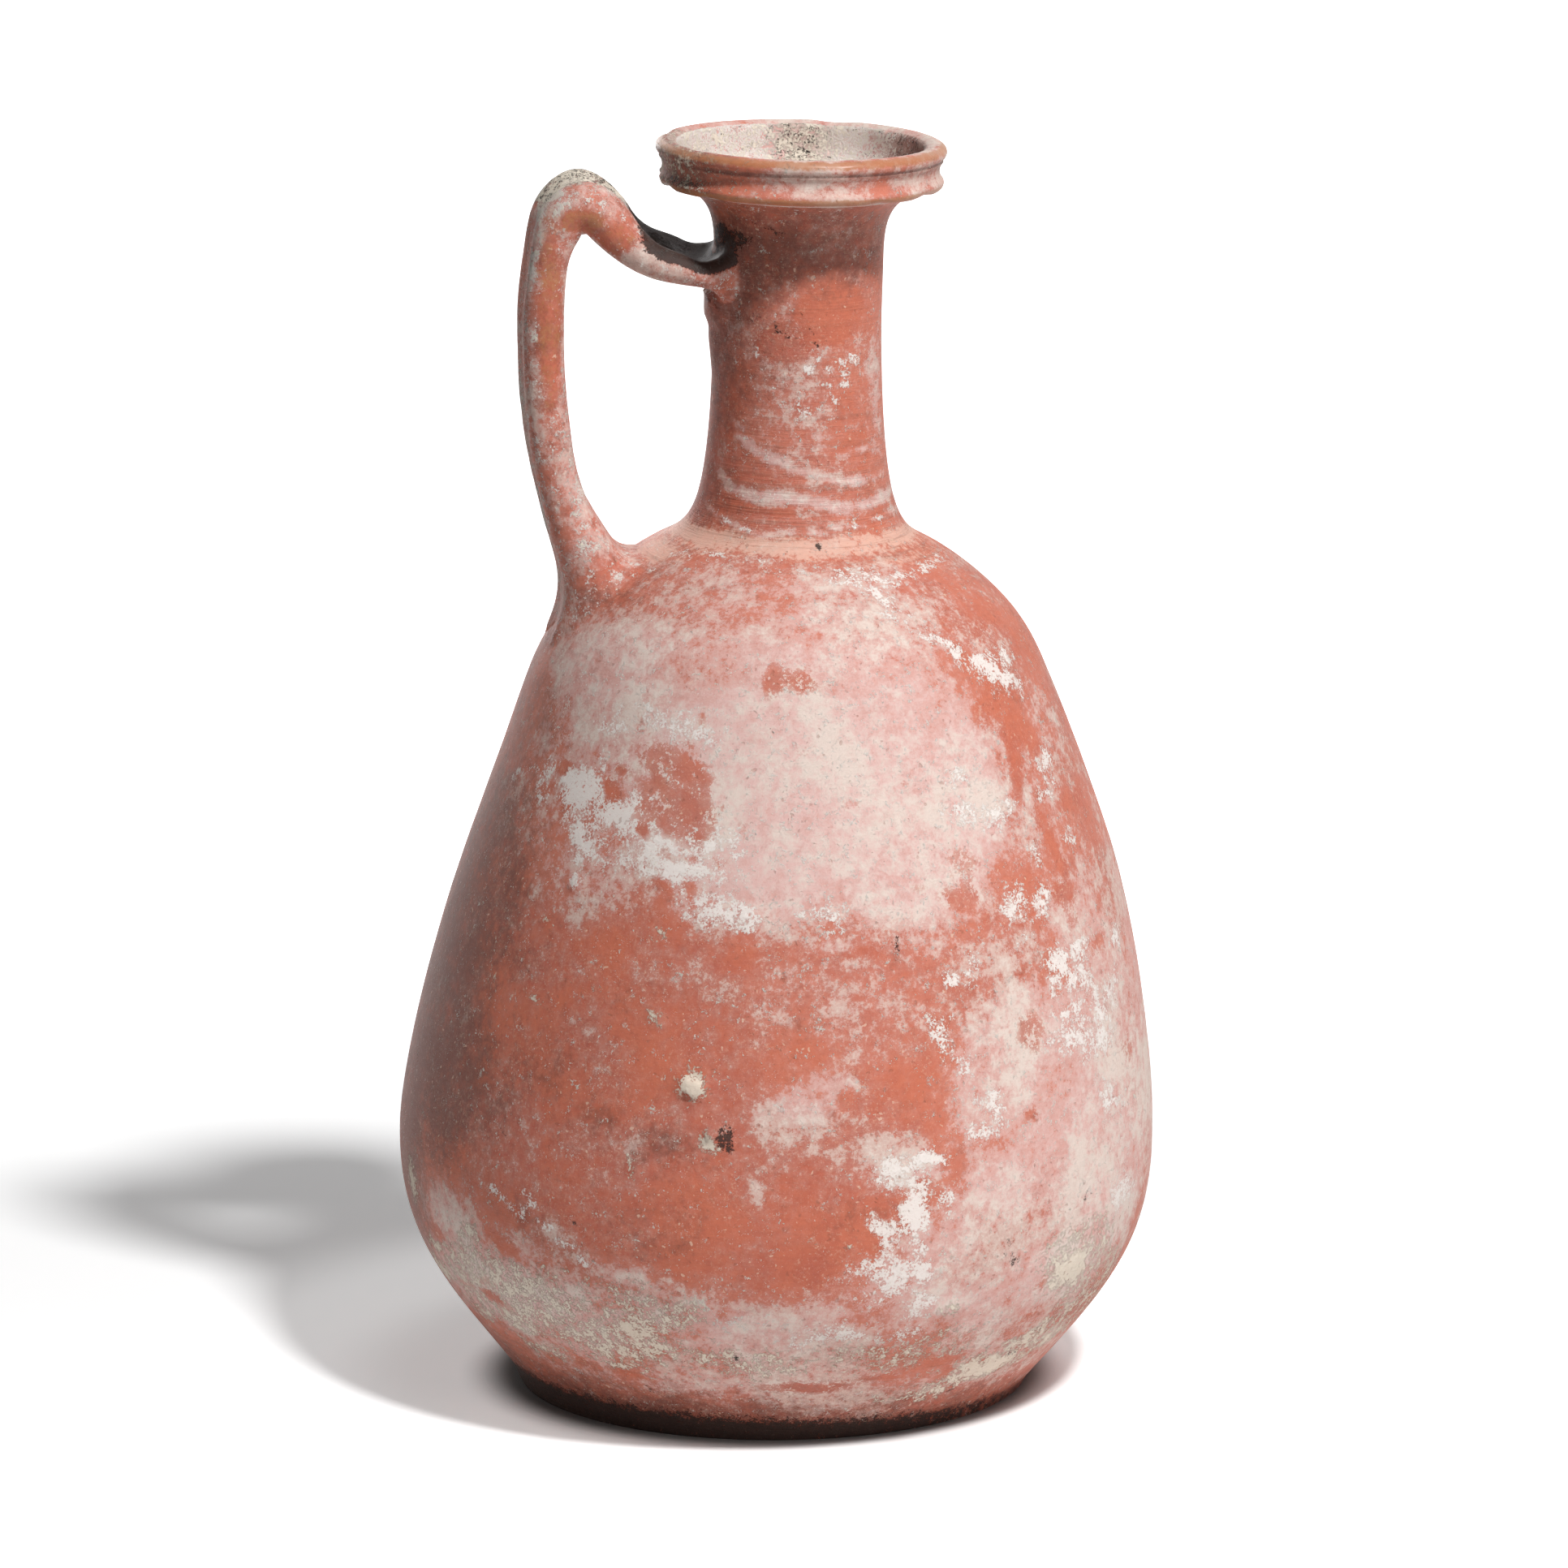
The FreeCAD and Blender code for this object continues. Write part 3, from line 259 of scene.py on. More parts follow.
# Bare slip, where the lime has come away.
BARE = (
    (-22, 111, 5.8, 7.2, 0, 0.74), (-27, 116.5, 6.5, 3.2, 0, 0.7), (-29.5, 109, 3, 5, 0, 0.7),
    (-19, 104.5, 3.2, 3.4, 0, 0.7), (-25, 116.9, 5.6, 0.9, 0, 0.85), (-21, 115.2, 2.6, 3.6, 0, 0.82),
    (-18, 114.2, 1.9, 1.3, 0, 1.0), (-21.6, 119, 1.9, 1.2, 0, 0.9), (-26.8, 119.4, 1.6, 0.7, 0, 0.8),
    (-28.4, 112.4, 1.3, 2.4, 0, 1.0), (-28.7, 108, 0.8, 2.0, 0, 1.0), (-30.5, 108, 0.6, 1.8, 0, 0.9),
    (-29, 105, 1.9, 1.6, 0, 1.0), (-37.2, 110, 2.6, 1.8, 0, 1.0), (-34.8, 109, 1.6, 0.9, 0, 0.9),
    (-35.3, 113.2, 1.4, 1.1, 0, 0.95), (-32, 111.8, 3.2, 0.5, 0, 0.85), (-20.3, 108.5, 3.4, 2.6, 0, 0.85),
    (-19.2, 104.2, 1.7, 1.2, 0, 0.95), (-15.8, 107, 0.7, 2.2, 0, 1.0), (-14.2, 108, 0.6, 2.4, -12, 1.0),
    (-24.5, 102.3, 0.9, 1.6, 0, 0.85), (-18, 100.6, 1.5, 0.8, 0, 0.9), (-24, 100.3, 1.6, 0.6, 0, 0.85),
    (-13.2, 100, 1.2, 0.8, 0, 0.95), (-20.8, 101, 0.8, 0.4, 0, 0.7), (-8.9, 105.5, 0.8, 1.0, 0, 0.6),
    (-38.8, 104.6, 1.2, 0.9, 0, 1.0), (-36.8, 103.1, 1.2, 0.5, -28, 0.9), (-35.7, 101.2, 0.8, 0.5, 0, 0.9),
    (-51.5, 111.6, 2.6, 2.0, 25, 1.0), (-53, 108, 1.6, 1.2, 0, 0.75), (-32.6, 121, 1.6, 0.6, 0, 0.9),
    (-35, 120, 0.8, 0.5, 0, 0.9), (-33, 122.4, 1.4, 0.8, 0, 0.6), (-31.3, 118, 0.8, 1.8, 0, 0.6),
    (-34.6, 117, 0.4, 1.2, 0, 0.7), (-23.4, 95.8, 2.4, 1.1, -30, 1.0), (-18.4, 96, 1.8, 1.1, 0, 1.0),
    (-15, 95, 1.6, 0.7, 0, 0.75), (-17.6, 91.6, 1.4, 1.0, 0, 1.0), (-25, 91.6, 4, 1.2, -10, 0.8),
    (-28, 118.4, 0.8, 1.4, 0, 0.6), (-4.3, 129.6, 2.2, 2.6, 0, 0.85), (1.5, 129.8, 3.0, 1.9, 0, 0.85),
    (-1.4, 130.6, 3.4, 1.3, 0, 0.85), (-18.8, 124.2, 0.35, 1.7, -8, 1.0), (11, 110.6, 2.6, 0.9, 0, 0.55),
    (23.6, 97.1, 1.2, 0.6, 0, 0.8), (22.8, 113.6, 1.6, 0.4, 25, 0.7), (12, 87.6, 4.6, 1.2, 0, 1.0),
    (16, 90.2, 2.4, 0.7, -12, 0.75), (7, 87, 3, 0.7, 0, 0.9), (-8, 86, 4, 1.2, 12, 0.9),
    (2.6, 119.2, 3, 0.7, 0, 0.5), (51.5, 114, 1.9, 6.5, -4, 0.95), (57, 99.5, 2.4, 6.0, 4, 1.0),
    (54.5, 105, 1.6, 3, -8, 0.8), (55.4, 119.5, 3.6, 3.6, 0, 0.85), (59, 124.2, 2.6, 1.6, 0, 0.85),
    (56.2, 92.5, 3.6, 2.4, 0, 0.95), (44.2, 90.4, 3.8, 0.9, 0, 0.85), (70, 106, 7, 2.4, 8, 0.85),
    (60.5, 117.5, 2.6, 2.2, 0, 0.75), (47, 122.6, 3.6, 3.4, 0, 0.7), (50.5, 126, 3.4, 1.0, 0, 0.8),
    (31, 95.4, 3.4, 3.0, 0, 0.75), (33, 100.5, 4, 2.6, -20, 0.55), (58, 88.6, 2, 1.0, 0, 0.6),
    (40, 87.5, 1.4, 2.0, 0, 0.7), (42, 82, 2.6, 2.6, 0, 0.7), (42, 72, 3.4, 3.4, 0, 0.7),
    (64, 83, 3.2, 2.6, 0, 0.7), (70, 64, 3.4, 3.0, 0, 0.6), (63, 65.2, 3.2, 0.8, 0, 0.75),
    (45.5, 130.5, 1.2, 0.8, 0, 0.8), (57, 135.6, 4, 1.6, 0, 0.85), (66, 137, 7, 2.6, 0, 0.7),
    (50, 137.5, 5, 2.4, 0, 0.6), (50, 141.4, 8, 0.9, 0, 0.75), (17, 47.2, 3.8, 1.3, 6, 1.0),
    (21.5, 47.9, 1.7, 0.5, 10, 0.9), (16.4, 44.4, 2.4, 1.6, -28, 1.0), (9.5, 41.6, 5.6, 3.4, 0, 1.0),
    (13.8, 39.6, 2.4, 1.8, 0, 1.0), (18.9, 38.4, 0.8, 1.6, 15, 0.95), (20.4, 36.4, 1.7, 1.2, 0, 0.9),
    (19.9, 34, 0.7, 1.3, 0, 0.85), (20.5, 30.8, 2.2, 0.7, 0, 0.7), (19.5, 29, 1.0, 1.2, 0, 0.6),
    (17, 26.4, 4, 1.3, 0, 0.5), (5, 36, 6, 4, 0, 0.9), (-53, 20.4, 4.6, 1.6, 0, 0.95),
    (-60, 21.4, 3.6, 1.2, 0, 0.6), (-65.5, 30.6, 4.6, 1.7, 0, 0.95), (-37.3, 12.2, 2.6, 1.5, 0, 1.0),
    (-27, 11.8, 3.8, 1.2, 0, 1.0), (-26.6, 15.4, 1.6, 0.9, 0, 0.85), (-49, 15.4, 3.2, 0.8, 0, 0.85),
    (-45.6, 13, 1.6, 1.2, 0, 0.8), (-28.4, 25.6, 2.4, 0.9, 0, 0.85), (-31, 28, 3, 1.2, 0, 0.6),
    (-45, 33, 5, 2.2, -10, 0.85), (-33.5, 31.5, 3, 1.3, 0, 0.55), (-52, 24, 4, 1.4, 0, 0.55),
    (-29, 21.6, 2, 1.0, 0, 0.6), (-24, 20.4, 1.2, 0.5, 0, 0.7), (7, 11.6, 9, 1.7, 2, 1.0),
    (20, 12.6, 6, 1.4, 3, 0.95), (31, 15.6, 6, 1.7, 6, 0.95), (35, 13, 2.6, 1.4, 0, 0.8),
    (42.4, 20, 3.4, 1.0, 12, 0.85), (47.6, 22.8, 4, 1.2, 12, 0.85), (22, 16, 5, 0.9, 0, 0.6),
    (33, 19.5, 4, 1.4, 0, 0.6), (41.5, 58, 2.4, 1.8, 0, 0.85), (37.5, 6.7, 3.6, 0.7, 0, 0.9),
    (46, 6.6, 5, 0.9, 0, 0.7), (46.6, 28, 1.6, 1.4, 0, 0.7), (-25, 158.8, 4, 0.8, -4, 0.9),
    (-8, 158.6, 4, 0.9, 0, 0.95), (8, 157.6, 3, 0.5, -4, 0.8), (-35, 154.2, 4, 0.6, -4, 0.9),
    (-12, 153.4, 6, 0.9, -1, 1.0), (10, 152.8, 5, 0.6, -2, 0.95), (45, 153, 6, 0.3, 4, 0.85),
    (38, 160.2, 4, 0.5, 0, 0.8), (60, 160.2, 4, 0.4, 0, 0.8), (45, 156.6, 4, 0.3, 4, 0.7),
    (25, 187, 7, 6, 0, 0.9), (-8, 182, 6, 4, 0, 0.85), (100, 104, 3, 7, 0, 0.9), (126, 90, 4, 6, 0, 0.9),
    (150, 92, 3, 4, 0, 0.9), (190, 104, 8, 5, 0, 0.8), (236, 110, 4, 6, 0, 0.9), (175, 40, 12, 8, 0, 0.9),
    (215, 70, 6, 6, 0, 0.9), (130, 40, 4, 5, 0, 0.9), (150, 16, 10, 1.4, 0, 0.9), (225, 16, 9, 1.4, 0, 0.9),
    (145, 130, 4, 2.0, 0, 0.9), (215, 126, 5, 2.0, 0, 0.9),
)
# Dull brown: worn and stained slip, and painted shade.
BROWN_AND_SHADE = (
    # Painted shade: rows high on the neck for the rim's shadow, wide rows on the left over real stain, one at
    # the foot.
    (-72, 84, 20, 26, 0, 0.75), (-62, 58, 14, 15, 0, 0.85), (-50, 57, 8, 9, 0, 0.6), (-68, 119, 8, 5, 0, 0.7),
    (-28, 59, 4, 2.2, 0, 0.65), (-18, 55, 5, 3.4, 0, 0.55), (-20, 41, 6, 3.4, 0, 0.55),
    (-40, 39.5, 7, 2.4, -18, 0.5), (-57, 92, 6, 6, 0, 0.5), (-40, 62, 10, 8, 0, 0.35),
    (12, 44, 5, 1.6, 0, 0.5), (-66, 44, 8, 4, 0, 0.4), (-56, 82, 8, 8, 0, 0.45), (-68, 160, 4, 14, 0, 0.5),
    (200, 70, 20, 14, 0, 0.5), (240, 40, 16, 10, 0, 0.5), (120, 100, 8, 6, 0, 0.4),
    (255, 110, 12, 12, 0, 0.6), (-64, 191, 12, 9, 0, 0.95), (-30, 5, 60, 4, 0, 0.9),
    (-62, 155, 8, 30, 0, 0.4), (-78, 60, 14, 46, 0, 0.95), (-20, 198, 26, 7, 0, 0.8),
    (30, 200, 20, 5, 0, 0.6), (-50, 178, 10, 10, 0, 0.5), (-46, 198, 8, 5, -8, 1.0),
    (-70, 178, 6, 17, 0, 0.85), (-56, 170, 5, 20, 0, 0.55),
)
# Dirt, soot and pits. The last two rows are painted shadow of the rim, over dirt, where the strap meets the
# neck.
DARK = (
    (-7.9, 58.2, 1.6, 2.0, 20, 0.62), (-7.2, 57, 0.7, 0.8, 0, 0.8), (39.5, 35.1, 2.3, 0.55, -2, 0.9),
    (37.4, 37.8, 1.2, 0.6, 0, 0.6), (53.6, 42.6, 1.2, 0.5, -10, 0.6), (-31.8, 39.5, 0.6, 0.7, 0, 0.8),
    (-71.5, 59.8, 0.9, 0.8, 0, 0.8), (12, 148.4, 0.4, 0.35, 0, 1.0), (-27.5, 148.8, 0.4, 0.3, 0, 0.7),
    (67.6, 86.8, 1.0, 0.8, 0, 0.7), (47.6, 14.8, 1.4, 0.7, 0, 0.65), (37, 8.4, 1.0, 0.5, 0, 0.6),
    (51, 17.3, 1.0, 0.6, 0, 0.6), (-7, 19, 0.6, 0.5, 0, 0.8), (-16, 18.7, 0.5, 0.5, 0, 0.7),
    (-24, 8.6, 0.6, 0.6, 0, 0.7), (-45, 53, 0.8, 0.8, 0, 0.7), (67.8, 44.3, 0.7, 0.6, 0, 0.7),
    (18, 88.6, 0.7, 0.4, -40, 0.7), (-11, 183.4, 1.0, 0.25, -12, 0.9), (-14, 184.8, 0.4, 0.6, 0, 0.8),
    (-5, 183, 1.2, 0.2, -3, 0.7), (10, 184, 0.9, 0.2, -45, 0.8), (14, 181.4, 0.9, 0.2, -50, 0.8),
    (5, 186.4, 0.8, 0.2, -40, 0.7), (-30, 185.8, 3, 0.5, 10, 0.55), (-24, 201.5, 1.6, 0.3, -12, 0.7),
    (-16, 201, 1.8, 0.3, -14, 0.7), (-14, 200.2, 1.4, 0.25, -14, 0.7), (-58, 208.4, 7, 1.0, 0, 0.4),
    (95, 150, 0.6, 0.5, 0, 0.8), (160, 90, 1.0, 0.8, 0, 0.8), (220, 110, 1.2, 0.9, 0, 0.7),
    (180, 45, 1.6, 0.6, 10, 0.7), (120, 66, 1.0, 0.7, 0, 0.7), (-62, 197.5, 4.5, 3.2, -8, 0.64),
    (-48, 199, 4.0, 1.6, -6, 0.5),
)
# A painted sheen: the band at the foot of the neck, which faces up, painted pale peach as if lit.
PAINTED_SHEEN = (
    (0, 148.2, 30, 1.5, 0, 0.9), (70, 148.2, 30, 1.5, 0, 0.85), (-70, 148.0, 30, 1.5, 0, 0.9),
    (180, 148.2, 60, 1.5, 0, 0.85), (-74, 144.8, 8, 1.6, 0, 0.9), (56, 145.8, 16, 1.0, 0, 0.6),
)

# Raised spots: turn, height, half width, half height and tilt as above, and how far they stand out.
RAISED = (
    (-14, 65, 1.7, 1.9, 10, 0.8), (-10.8, 57.3, 1.5, 1.2, -20, 0.8), (-21.7, 50.9, 0.9, 1.4, -15, 0.4),
    (28.3, 26.4, 1.8, 1.2, 0, 0.5), (-41, 94.4, 1.2, 1.2, 0, 0.5), (-8.2, 92.3, 1.6, 1.4, 0, 0.3),
    (10.6, 39.2, 1.0, 1.0, 0, 0.5), (-22, 76, 1.3, 0.7, -35, 0.4), (130, 58, 2.0, 2.4, 0, 0.8),
    (188, 88, 1.6, 1.8, 0, 0.7), (222, 48, 2.0, 1.4, 0, 0.7),
)
# Clay smeared over the handle's upper root: the same.
SMEARED = (
    (-84, 187, 5.5, 4.6, 0, 1.5), (-84, 182, 3.4, 5.0, 0, 0.7), (-60, 188.5, 2.4, 1.6, 20, 0.4),
    (-108, 188.5, 2.4, 1.6, -20, 0.4),
)
# Where the edges of the rim are chipped: the same, with the depth.
CHIPPED = (
    (-88, 206.6, 3.4, 1.3, 0, 1.1), (-70, 206.4, 2.0, 0.9, 0, 0.5), (-40, 206.5, 1.4, 0.7, 0, 0.35),
    (34, 206.4, 1.6, 0.7, 0, 0.35), (62, 206.6, 2.2, 0.8, 0, 0.4), (15, 213.4, 1.2, 0.6, 0, 0.25),
    (-52, 213.4, 1.5, 0.7, 0, 0.3), (78, 213.3, 1.8, 0.7, 0, 0.35), (120, 206.5, 2.6, 1.0, 0, 0.6),
    (165, 213.4, 2.4, 0.8, 0, 0.5), (210, 206.5, 2.2, 0.9, 0, 0.5), (255, 213.3, 2.0, 0.7, 0, 0.4),
)

# Marks on the strap: distance out from the turning axis, height, distance to the front of the strap's middle,
# their three half sizes and strength.
STRAP_CRUST = (
    (37, 209, -1.5, 9.0, 4.5, 8.0, 1.0), (29, 202, -2.5, 6.0, 4.5, 7.0, 1.0),
    (23, 197.5, -1.0, 4.0, 3.5, 6.5, 0.95), (43, 203, 2.0, 3.0, 6.0, 7.0, 0.9),
    (43.4, 199, 8.5, 1.6, 3.4, 4.0, 1.0), (43.2, 197.3, 9.5, 1.4, 1.2, 3.0, 1.0),
    (45.4, 195.4, 8.0, 1.2, 1.4, 3.0, 0.9), (45.3, 192.6, 8.0, 1.4, 1.6, 3.0, 0.95),
    (45.2, 181.4, 8.0, 1.0, 1.4, 3.0, 0.9), (37.4, 154.5, 7.0, 1.4, 3.2, 3.5, 0.95),
    (39.2, 163, 7.5, 0.9, 6.0, 3.0, 0.7), (40.0, 176, 7.5, 0.7, 7.0, 3.0, 0.55),
    (36, 146, 9, 2.4, 2.0, 3.0, 0.7), (46.5, 170, -3, 2.0, 6.0, 5.0, 0.6), (43, 150, -3, 3.0, 5.0, 6.0, 0.7),
    (26, 195.6, 7.5, 4.5, 0.9, 3.0, 0.6), (36, 203.5, 7.0, 3.0, 1.4, 2.0, 0.6), (42, 203, 6, 4, 5, 6, 0.8),
    (33, 206, 3, 6, 3, 6, 0.75),
)
STRAP_BARE = (
    (37.5, 201.5, 10.0, 4.6, 2.6, 3.4, 1.0), (31.5, 198.5, 10.5, 3.4, 3.0, 3.4, 0.9),
    (42.5, 186, 9.0, 2.6, 20.0, 5.0, 0.9),
)
# Brown on the strap: stain, and painted shade down the groove of its outer face and in the dip by the neck.
STRAP_STAIN_AND_SHADE = (
    (47.0, 175, 0.0, 1.8, 30.0, 12.0, 0.4), (34, 136, 8, 5, 5, 6, 0.6), (38, 205, -10, 8, 8, 4, 0.6),
    (41, 170, -9.5, 6, 30, 3, 0.5), (26, 195, 0, 8, 6, 7, 1.0), (20, 192, 4, 6, 5, 6, 0.9),
)
STRAP_PITS = (
    (38, 209, -1.0, 8.0, 5.0, 6.0, 0.3), (43, 203, 2.5, 2.4, 4.0, 5.0, 0.28),
    (30, 202, -2.0, 5.0, 4.0, 6.0, 0.25),
)

# Degrees round the axis at which the mouth cup is painted darker for the rim's shade, the rim is darker,
# and the foot is painted dark for soot and shade.
CUP_SHADE_TURN, DARKER_RIM_TURN, SOOT_AND_SHADE_TURN = 100, -75, -30

# Which attribute of the mesh carries which layers, as its red, green and blue.
ATTRIBUTES = {
    "deposit": ("veil", "crust", "cream"),
    "clay": ("bare", "brown", "dark"),
    "wear": ("worn", "painted_sheen", "wheel"),
}
# The layers, their marks, and how wide their edges fade.
LAYERS = (
    ("veil", VEIL, 12.0), ("veil", SMEARS, 1.6), ("crust", CRUST, 3.6), ("cream", CREAM, 3.0),
    ("bare", BARE, 2.0), ("brown", BROWN_AND_SHADE, 12.0), ("dark", DARK, 1.2), ("painted_sheen", PAINTED_SHEEN, 2.4),
)
# How strongly the wheel's fine lines show, height by height.
WHEEL_LINES = (
    (0, 0.3), (6, 0.6), (16, 0.7), (26, 0.25), (60, 0.1), (120, 0.15), (138, 0.3), (146, 0.9), (152, 1.0),
    (165, 0.6), (180, 0.35), (200, 0.5), (206, 0.3), (215, 0.2),
)

# Largest radius of the lower flange, and heights at which the strap's foot, the flanges and the floor inside
# are reached.
FLANGE_RADIUS = 24.4
STRAP_FOOT = 118
FLANGE_FOOT = 205.6
INNER_FLOOR = 5.5

# The lamps: name, place in metres, the setting that holds the power, and size. They all face LAMP_AIM.
LAMP_AIM = (0.0, 0.0, 0.11)
LAMPS = (
    ("key_lamp", (0.52, -0.73, 1.41), "key_strength", 0.18),
    ("side_lamp", (1.3, -0.95, 0.35), "side_strength", 0.8),
    ("fill_lamp", (-1.1, -1.2, 0.25), "fill_strength", 1.0),
    ("back_lamp", (-0.4, 1.6, 0.2), "back_strength", 0.9),
)
# How the paper's colour changes with the distance from the jug's middle, for the light that it gives back and
# as it is seen at the foot, where it is a painted shadow: from, to (in metres), and the colour at both.
TABLE_BOUNCE = (0.2, 0.55, 0.92, 0.1)
PAINTED_FOOT_SHADOW = (0.044, 0.051, 0.35, 0.9)
# How the paper's own glow changes with that distance: from, to and by how much. Its rises and dip paint the
# shadow's tone near the foot.
FLOOR_GLOW = ((0.044, 0.054, 0.36), (0.06, 0.08, 0.1), (0.09, 0.12, -0.17), (0.15, 0.42, 0.71))


class JugShape(bpy.types.PropertyGroup):
    lean: bpy.props.FloatProperty(
        name="Lean", description="Lean of the turning axis towards +X", default=math.radians(1.45),
        subtype="ANGLE", unit="ROTATION")
    columns: bpy.props.IntProperty(
        name="Columns", description="Steps round the turned form", default=240, min=48, max=288)
    row_spacing: bpy.props.FloatProperty(
        name="Row spacing", description="Distance between rows on the belly", default=1.35 * MM,
        subtype="DISTANCE", unit="LENGTH")
    neck_spacing: bpy.props.FloatProperty(
        name="Neck row spacing", description="Distance between rows on the neck", default=0.8 * MM,
        subtype="DISTANCE", unit="LENGTH")
    strap_yaw: bpy.props.FloatProperty(
        name="Strap turn", description="How far the strap is turned from -X towards -Y",
        default=math.radians(6.0), subtype="ANGLE", unit="ROTATION")
    strap_grain: bpy.props.FloatProperty(
        name="Strap grain", description="Size of the faces on the strap handle", default=0.72 * MM,
        subtype="DISTANCE", unit="LENGTH")
    unevenness: bpy.props.FloatProperty(
        name="Unevenness", description="Depth of the slow hollows left by the hand", default=0.35 * MM,
        subtype="DISTANCE", unit="LENGTH")


class JugColours(bpy.types.PropertyGroup):
    slip_orange: bpy.props.FloatVectorProperty(
        name="Light slip", description="Slip where it was brushed on thin", default=(0.6, 0.172, 0.1, 1.0),
        size=4, min=0.0, max=1.0, subtype="COLOR")
    slip_red: bpy.props.FloatVectorProperty(
        name="Deep slip", description="Slip where it lies thick", default=(0.45, 0.112, 0.072, 1.0),
        size=4, min=0.0, max=1.0, subtype="COLOR")
    # Also the colour of painted shade.
    stained_and_shaded_brown: bpy.props.FloatVectorProperty(
        name="Stain and shade", description="Dull brown of worn and stained slip", default=(0.15, 0.058, 0.043, 1.0),
        size=4, min=0.0, max=1.0, subtype="COLOR")
    # Colour of the painted sheen on the band at the foot of the neck.
    painted_sheen_colour: bpy.props.FloatVectorProperty(
        name="Painted sheen band", description="Band at the foot of the neck", default=(0.87, 0.62, 0.5, 1.0),
        size=4, min=0.0, max=1.0, subtype="COLOR")
    fleck_cream: bpy.props.FloatVectorProperty(
        name="Flecks", description="Specks and dust caught in the slip", default=(0.74, 0.5, 0.37, 1.0),
        size=4, min=0.0, max=1.0, subtype="COLOR")
    veil_pink: bpy.props.FloatVectorProperty(
        name="Pink lime", description="Veil of lime where the slip tints it", default=(0.73, 0.48, 0.44, 1.0),
        size=4, min=0.0, max=1.0, subtype="COLOR")
    veil_cream: bpy.props.FloatVectorProperty(
        name="Pale lime", description="Veil of lime where it is thick", default=(0.75, 0.62, 0.55, 1.0),
        size=4, min=0.0, max=1.0, subtype="COLOR")
    crust_white: bpy.props.FloatVectorProperty(
        name="White crust", description="Crust of lime", default=(0.88, 0.81, 0.76, 1.0),
        size=4, min=0.0, max=1.0, subtype="COLOR")
    crust_cream: bpy.props.FloatVectorProperty(
        name="Cream crust", description="Thick warm crust low on the belly", default=(0.78, 0.69, 0.57, 1.0),
        size=4, min=0.0, max=1.0, subtype="COLOR")
    worn_edge: bpy.props.FloatVectorProperty(
        name="Worn edge", description="Clay rubbed bare along the rim", default=(0.43, 0.17, 0.065, 1.0),
        size=4, min=0.0, max=1.0, subtype="COLOR")
    line_shade: bpy.props.FloatVectorProperty(
        name="Wheel lines", description="Shade in the wheel's lines and the grit",
        default=(0.3, 0.11, 0.07, 1.0), size=4, min=0.0, max=1.0, subtype="COLOR")
    # Also the colour of painted shade in the dark layer.
    soot_and_shade: bpy.props.FloatVectorProperty(
        name="Soot and shade", description="Dirt and soot", default=(0.032, 0.023, 0.02, 1.0),
        size=4, min=0.0, max=1.0, subtype="COLOR")


class JugStage(bpy.types.PropertyGroup):
    camera_distance: bpy.props.FloatProperty(
        name="Camera distance", description="From the camera to the jug's middle", default=1.690,
        subtype="DISTANCE", unit="LENGTH")
    camera_rise: bpy.props.FloatProperty(
        name="Camera rise", description="Angle at which the camera looks down", default=math.radians(12.5),
        subtype="ANGLE", unit="ROTATION")
    aim_height: bpy.props.FloatProperty(
        name="Aim height", description="Height the camera aims at", default=0.1033,
        subtype="DISTANCE", unit="LENGTH")
    aim_side: bpy.props.FloatProperty(
        name="Aim to the side", description="How far right of the jug's foot the camera aims",
        default=0.00248, subtype="DISTANCE", unit="LENGTH")
    lens: bpy.props.FloatProperty(
        name="Lens", description="Focal length on a 36 mm sensor, in millimetres", default=228.2)
    key_strength: bpy.props.FloatProperty(
        name="Key lamp", description="Power of the key lamp, in watts", default=25.0, min=0.0)
    side_strength: bpy.props.FloatProperty(
        name="Side lamp", description="Power of the low side lamp, in watts", default=5.0, min=0.0)
    fill_strength: bpy.props.FloatProperty(
        name="Fill lamp", description="Power of the fill lamp, in watts", default=1.8, min=0.0)
    back_strength: bpy.props.FloatProperty(
        name="Back lamp", description="Power of the low back lamp, in watts", default=7.0, min=0.0)
    sky_strength: bpy.props.FloatProperty(
        name="Sky", description="Even light from all round", default=0.05, min=0.0, max=1.0)


def turning_axes():
    lean = bpy.context.scene.jug_shape.lean
    along = np.array((math.sin(lean), 0.0, math.cos(lean)))
    right = np.array((math.cos(lean), 0.0, -math.sin(lean)))
    return along, right


def off_axis(points):
    # Radius from the turning axis, turn in degrees from the front (-Y) round by the right, height along it.
    along, right = turning_axes()
    height = points @ along
    side = points @ right
    back = points[:, 1]
    return np.hypot(side, back), np.degrees(np.arctan2(side, -back)), height


def turned_from(turn, at):
    # Degrees from one place round the axis to another, the short way.
    return (turn - at + 180) % 360 - 180


def clamped_spline(poles, count):
    # Points of the smooth curve that these control points pull, from the first of them to the last.
    poles = np.array(poles, float)
    spans = len(poles) - 3
    knots = np.concatenate((np.zeros(3), np.arange(spans + 1), np.full(3, spans)))
    at = np.linspace(0, spans, count)
    span = np.minimum(at.astype(int), spans - 1) + 3
    pull = [poles[span - 3 + order] for order in range(4)]
    for level in range(1, 4):
        for order in range(3, level - 1, -1):
            index = span - 3 + order
            low, high = knots[index], knots[index + 4 - level]
            share = ((at - low) / (high - low))[:, None]
            pull[order] = (1 - share) * pull[order - 1] + share * pull[order]
    return pull[3]


def evenly(points, spacing):
    lengths = np.concatenate(((0,), np.cumsum(np.linalg.norm(np.diff(points, axis=0), axis=1))))
    count = max(1, round(lengths[-1] / spacing))
    marks = np.linspace(0, lengths[-1], count + 1)
    return np.stack([np.interp(marks, lengths, points[:, column]) for column in (0, 1)], axis=1)


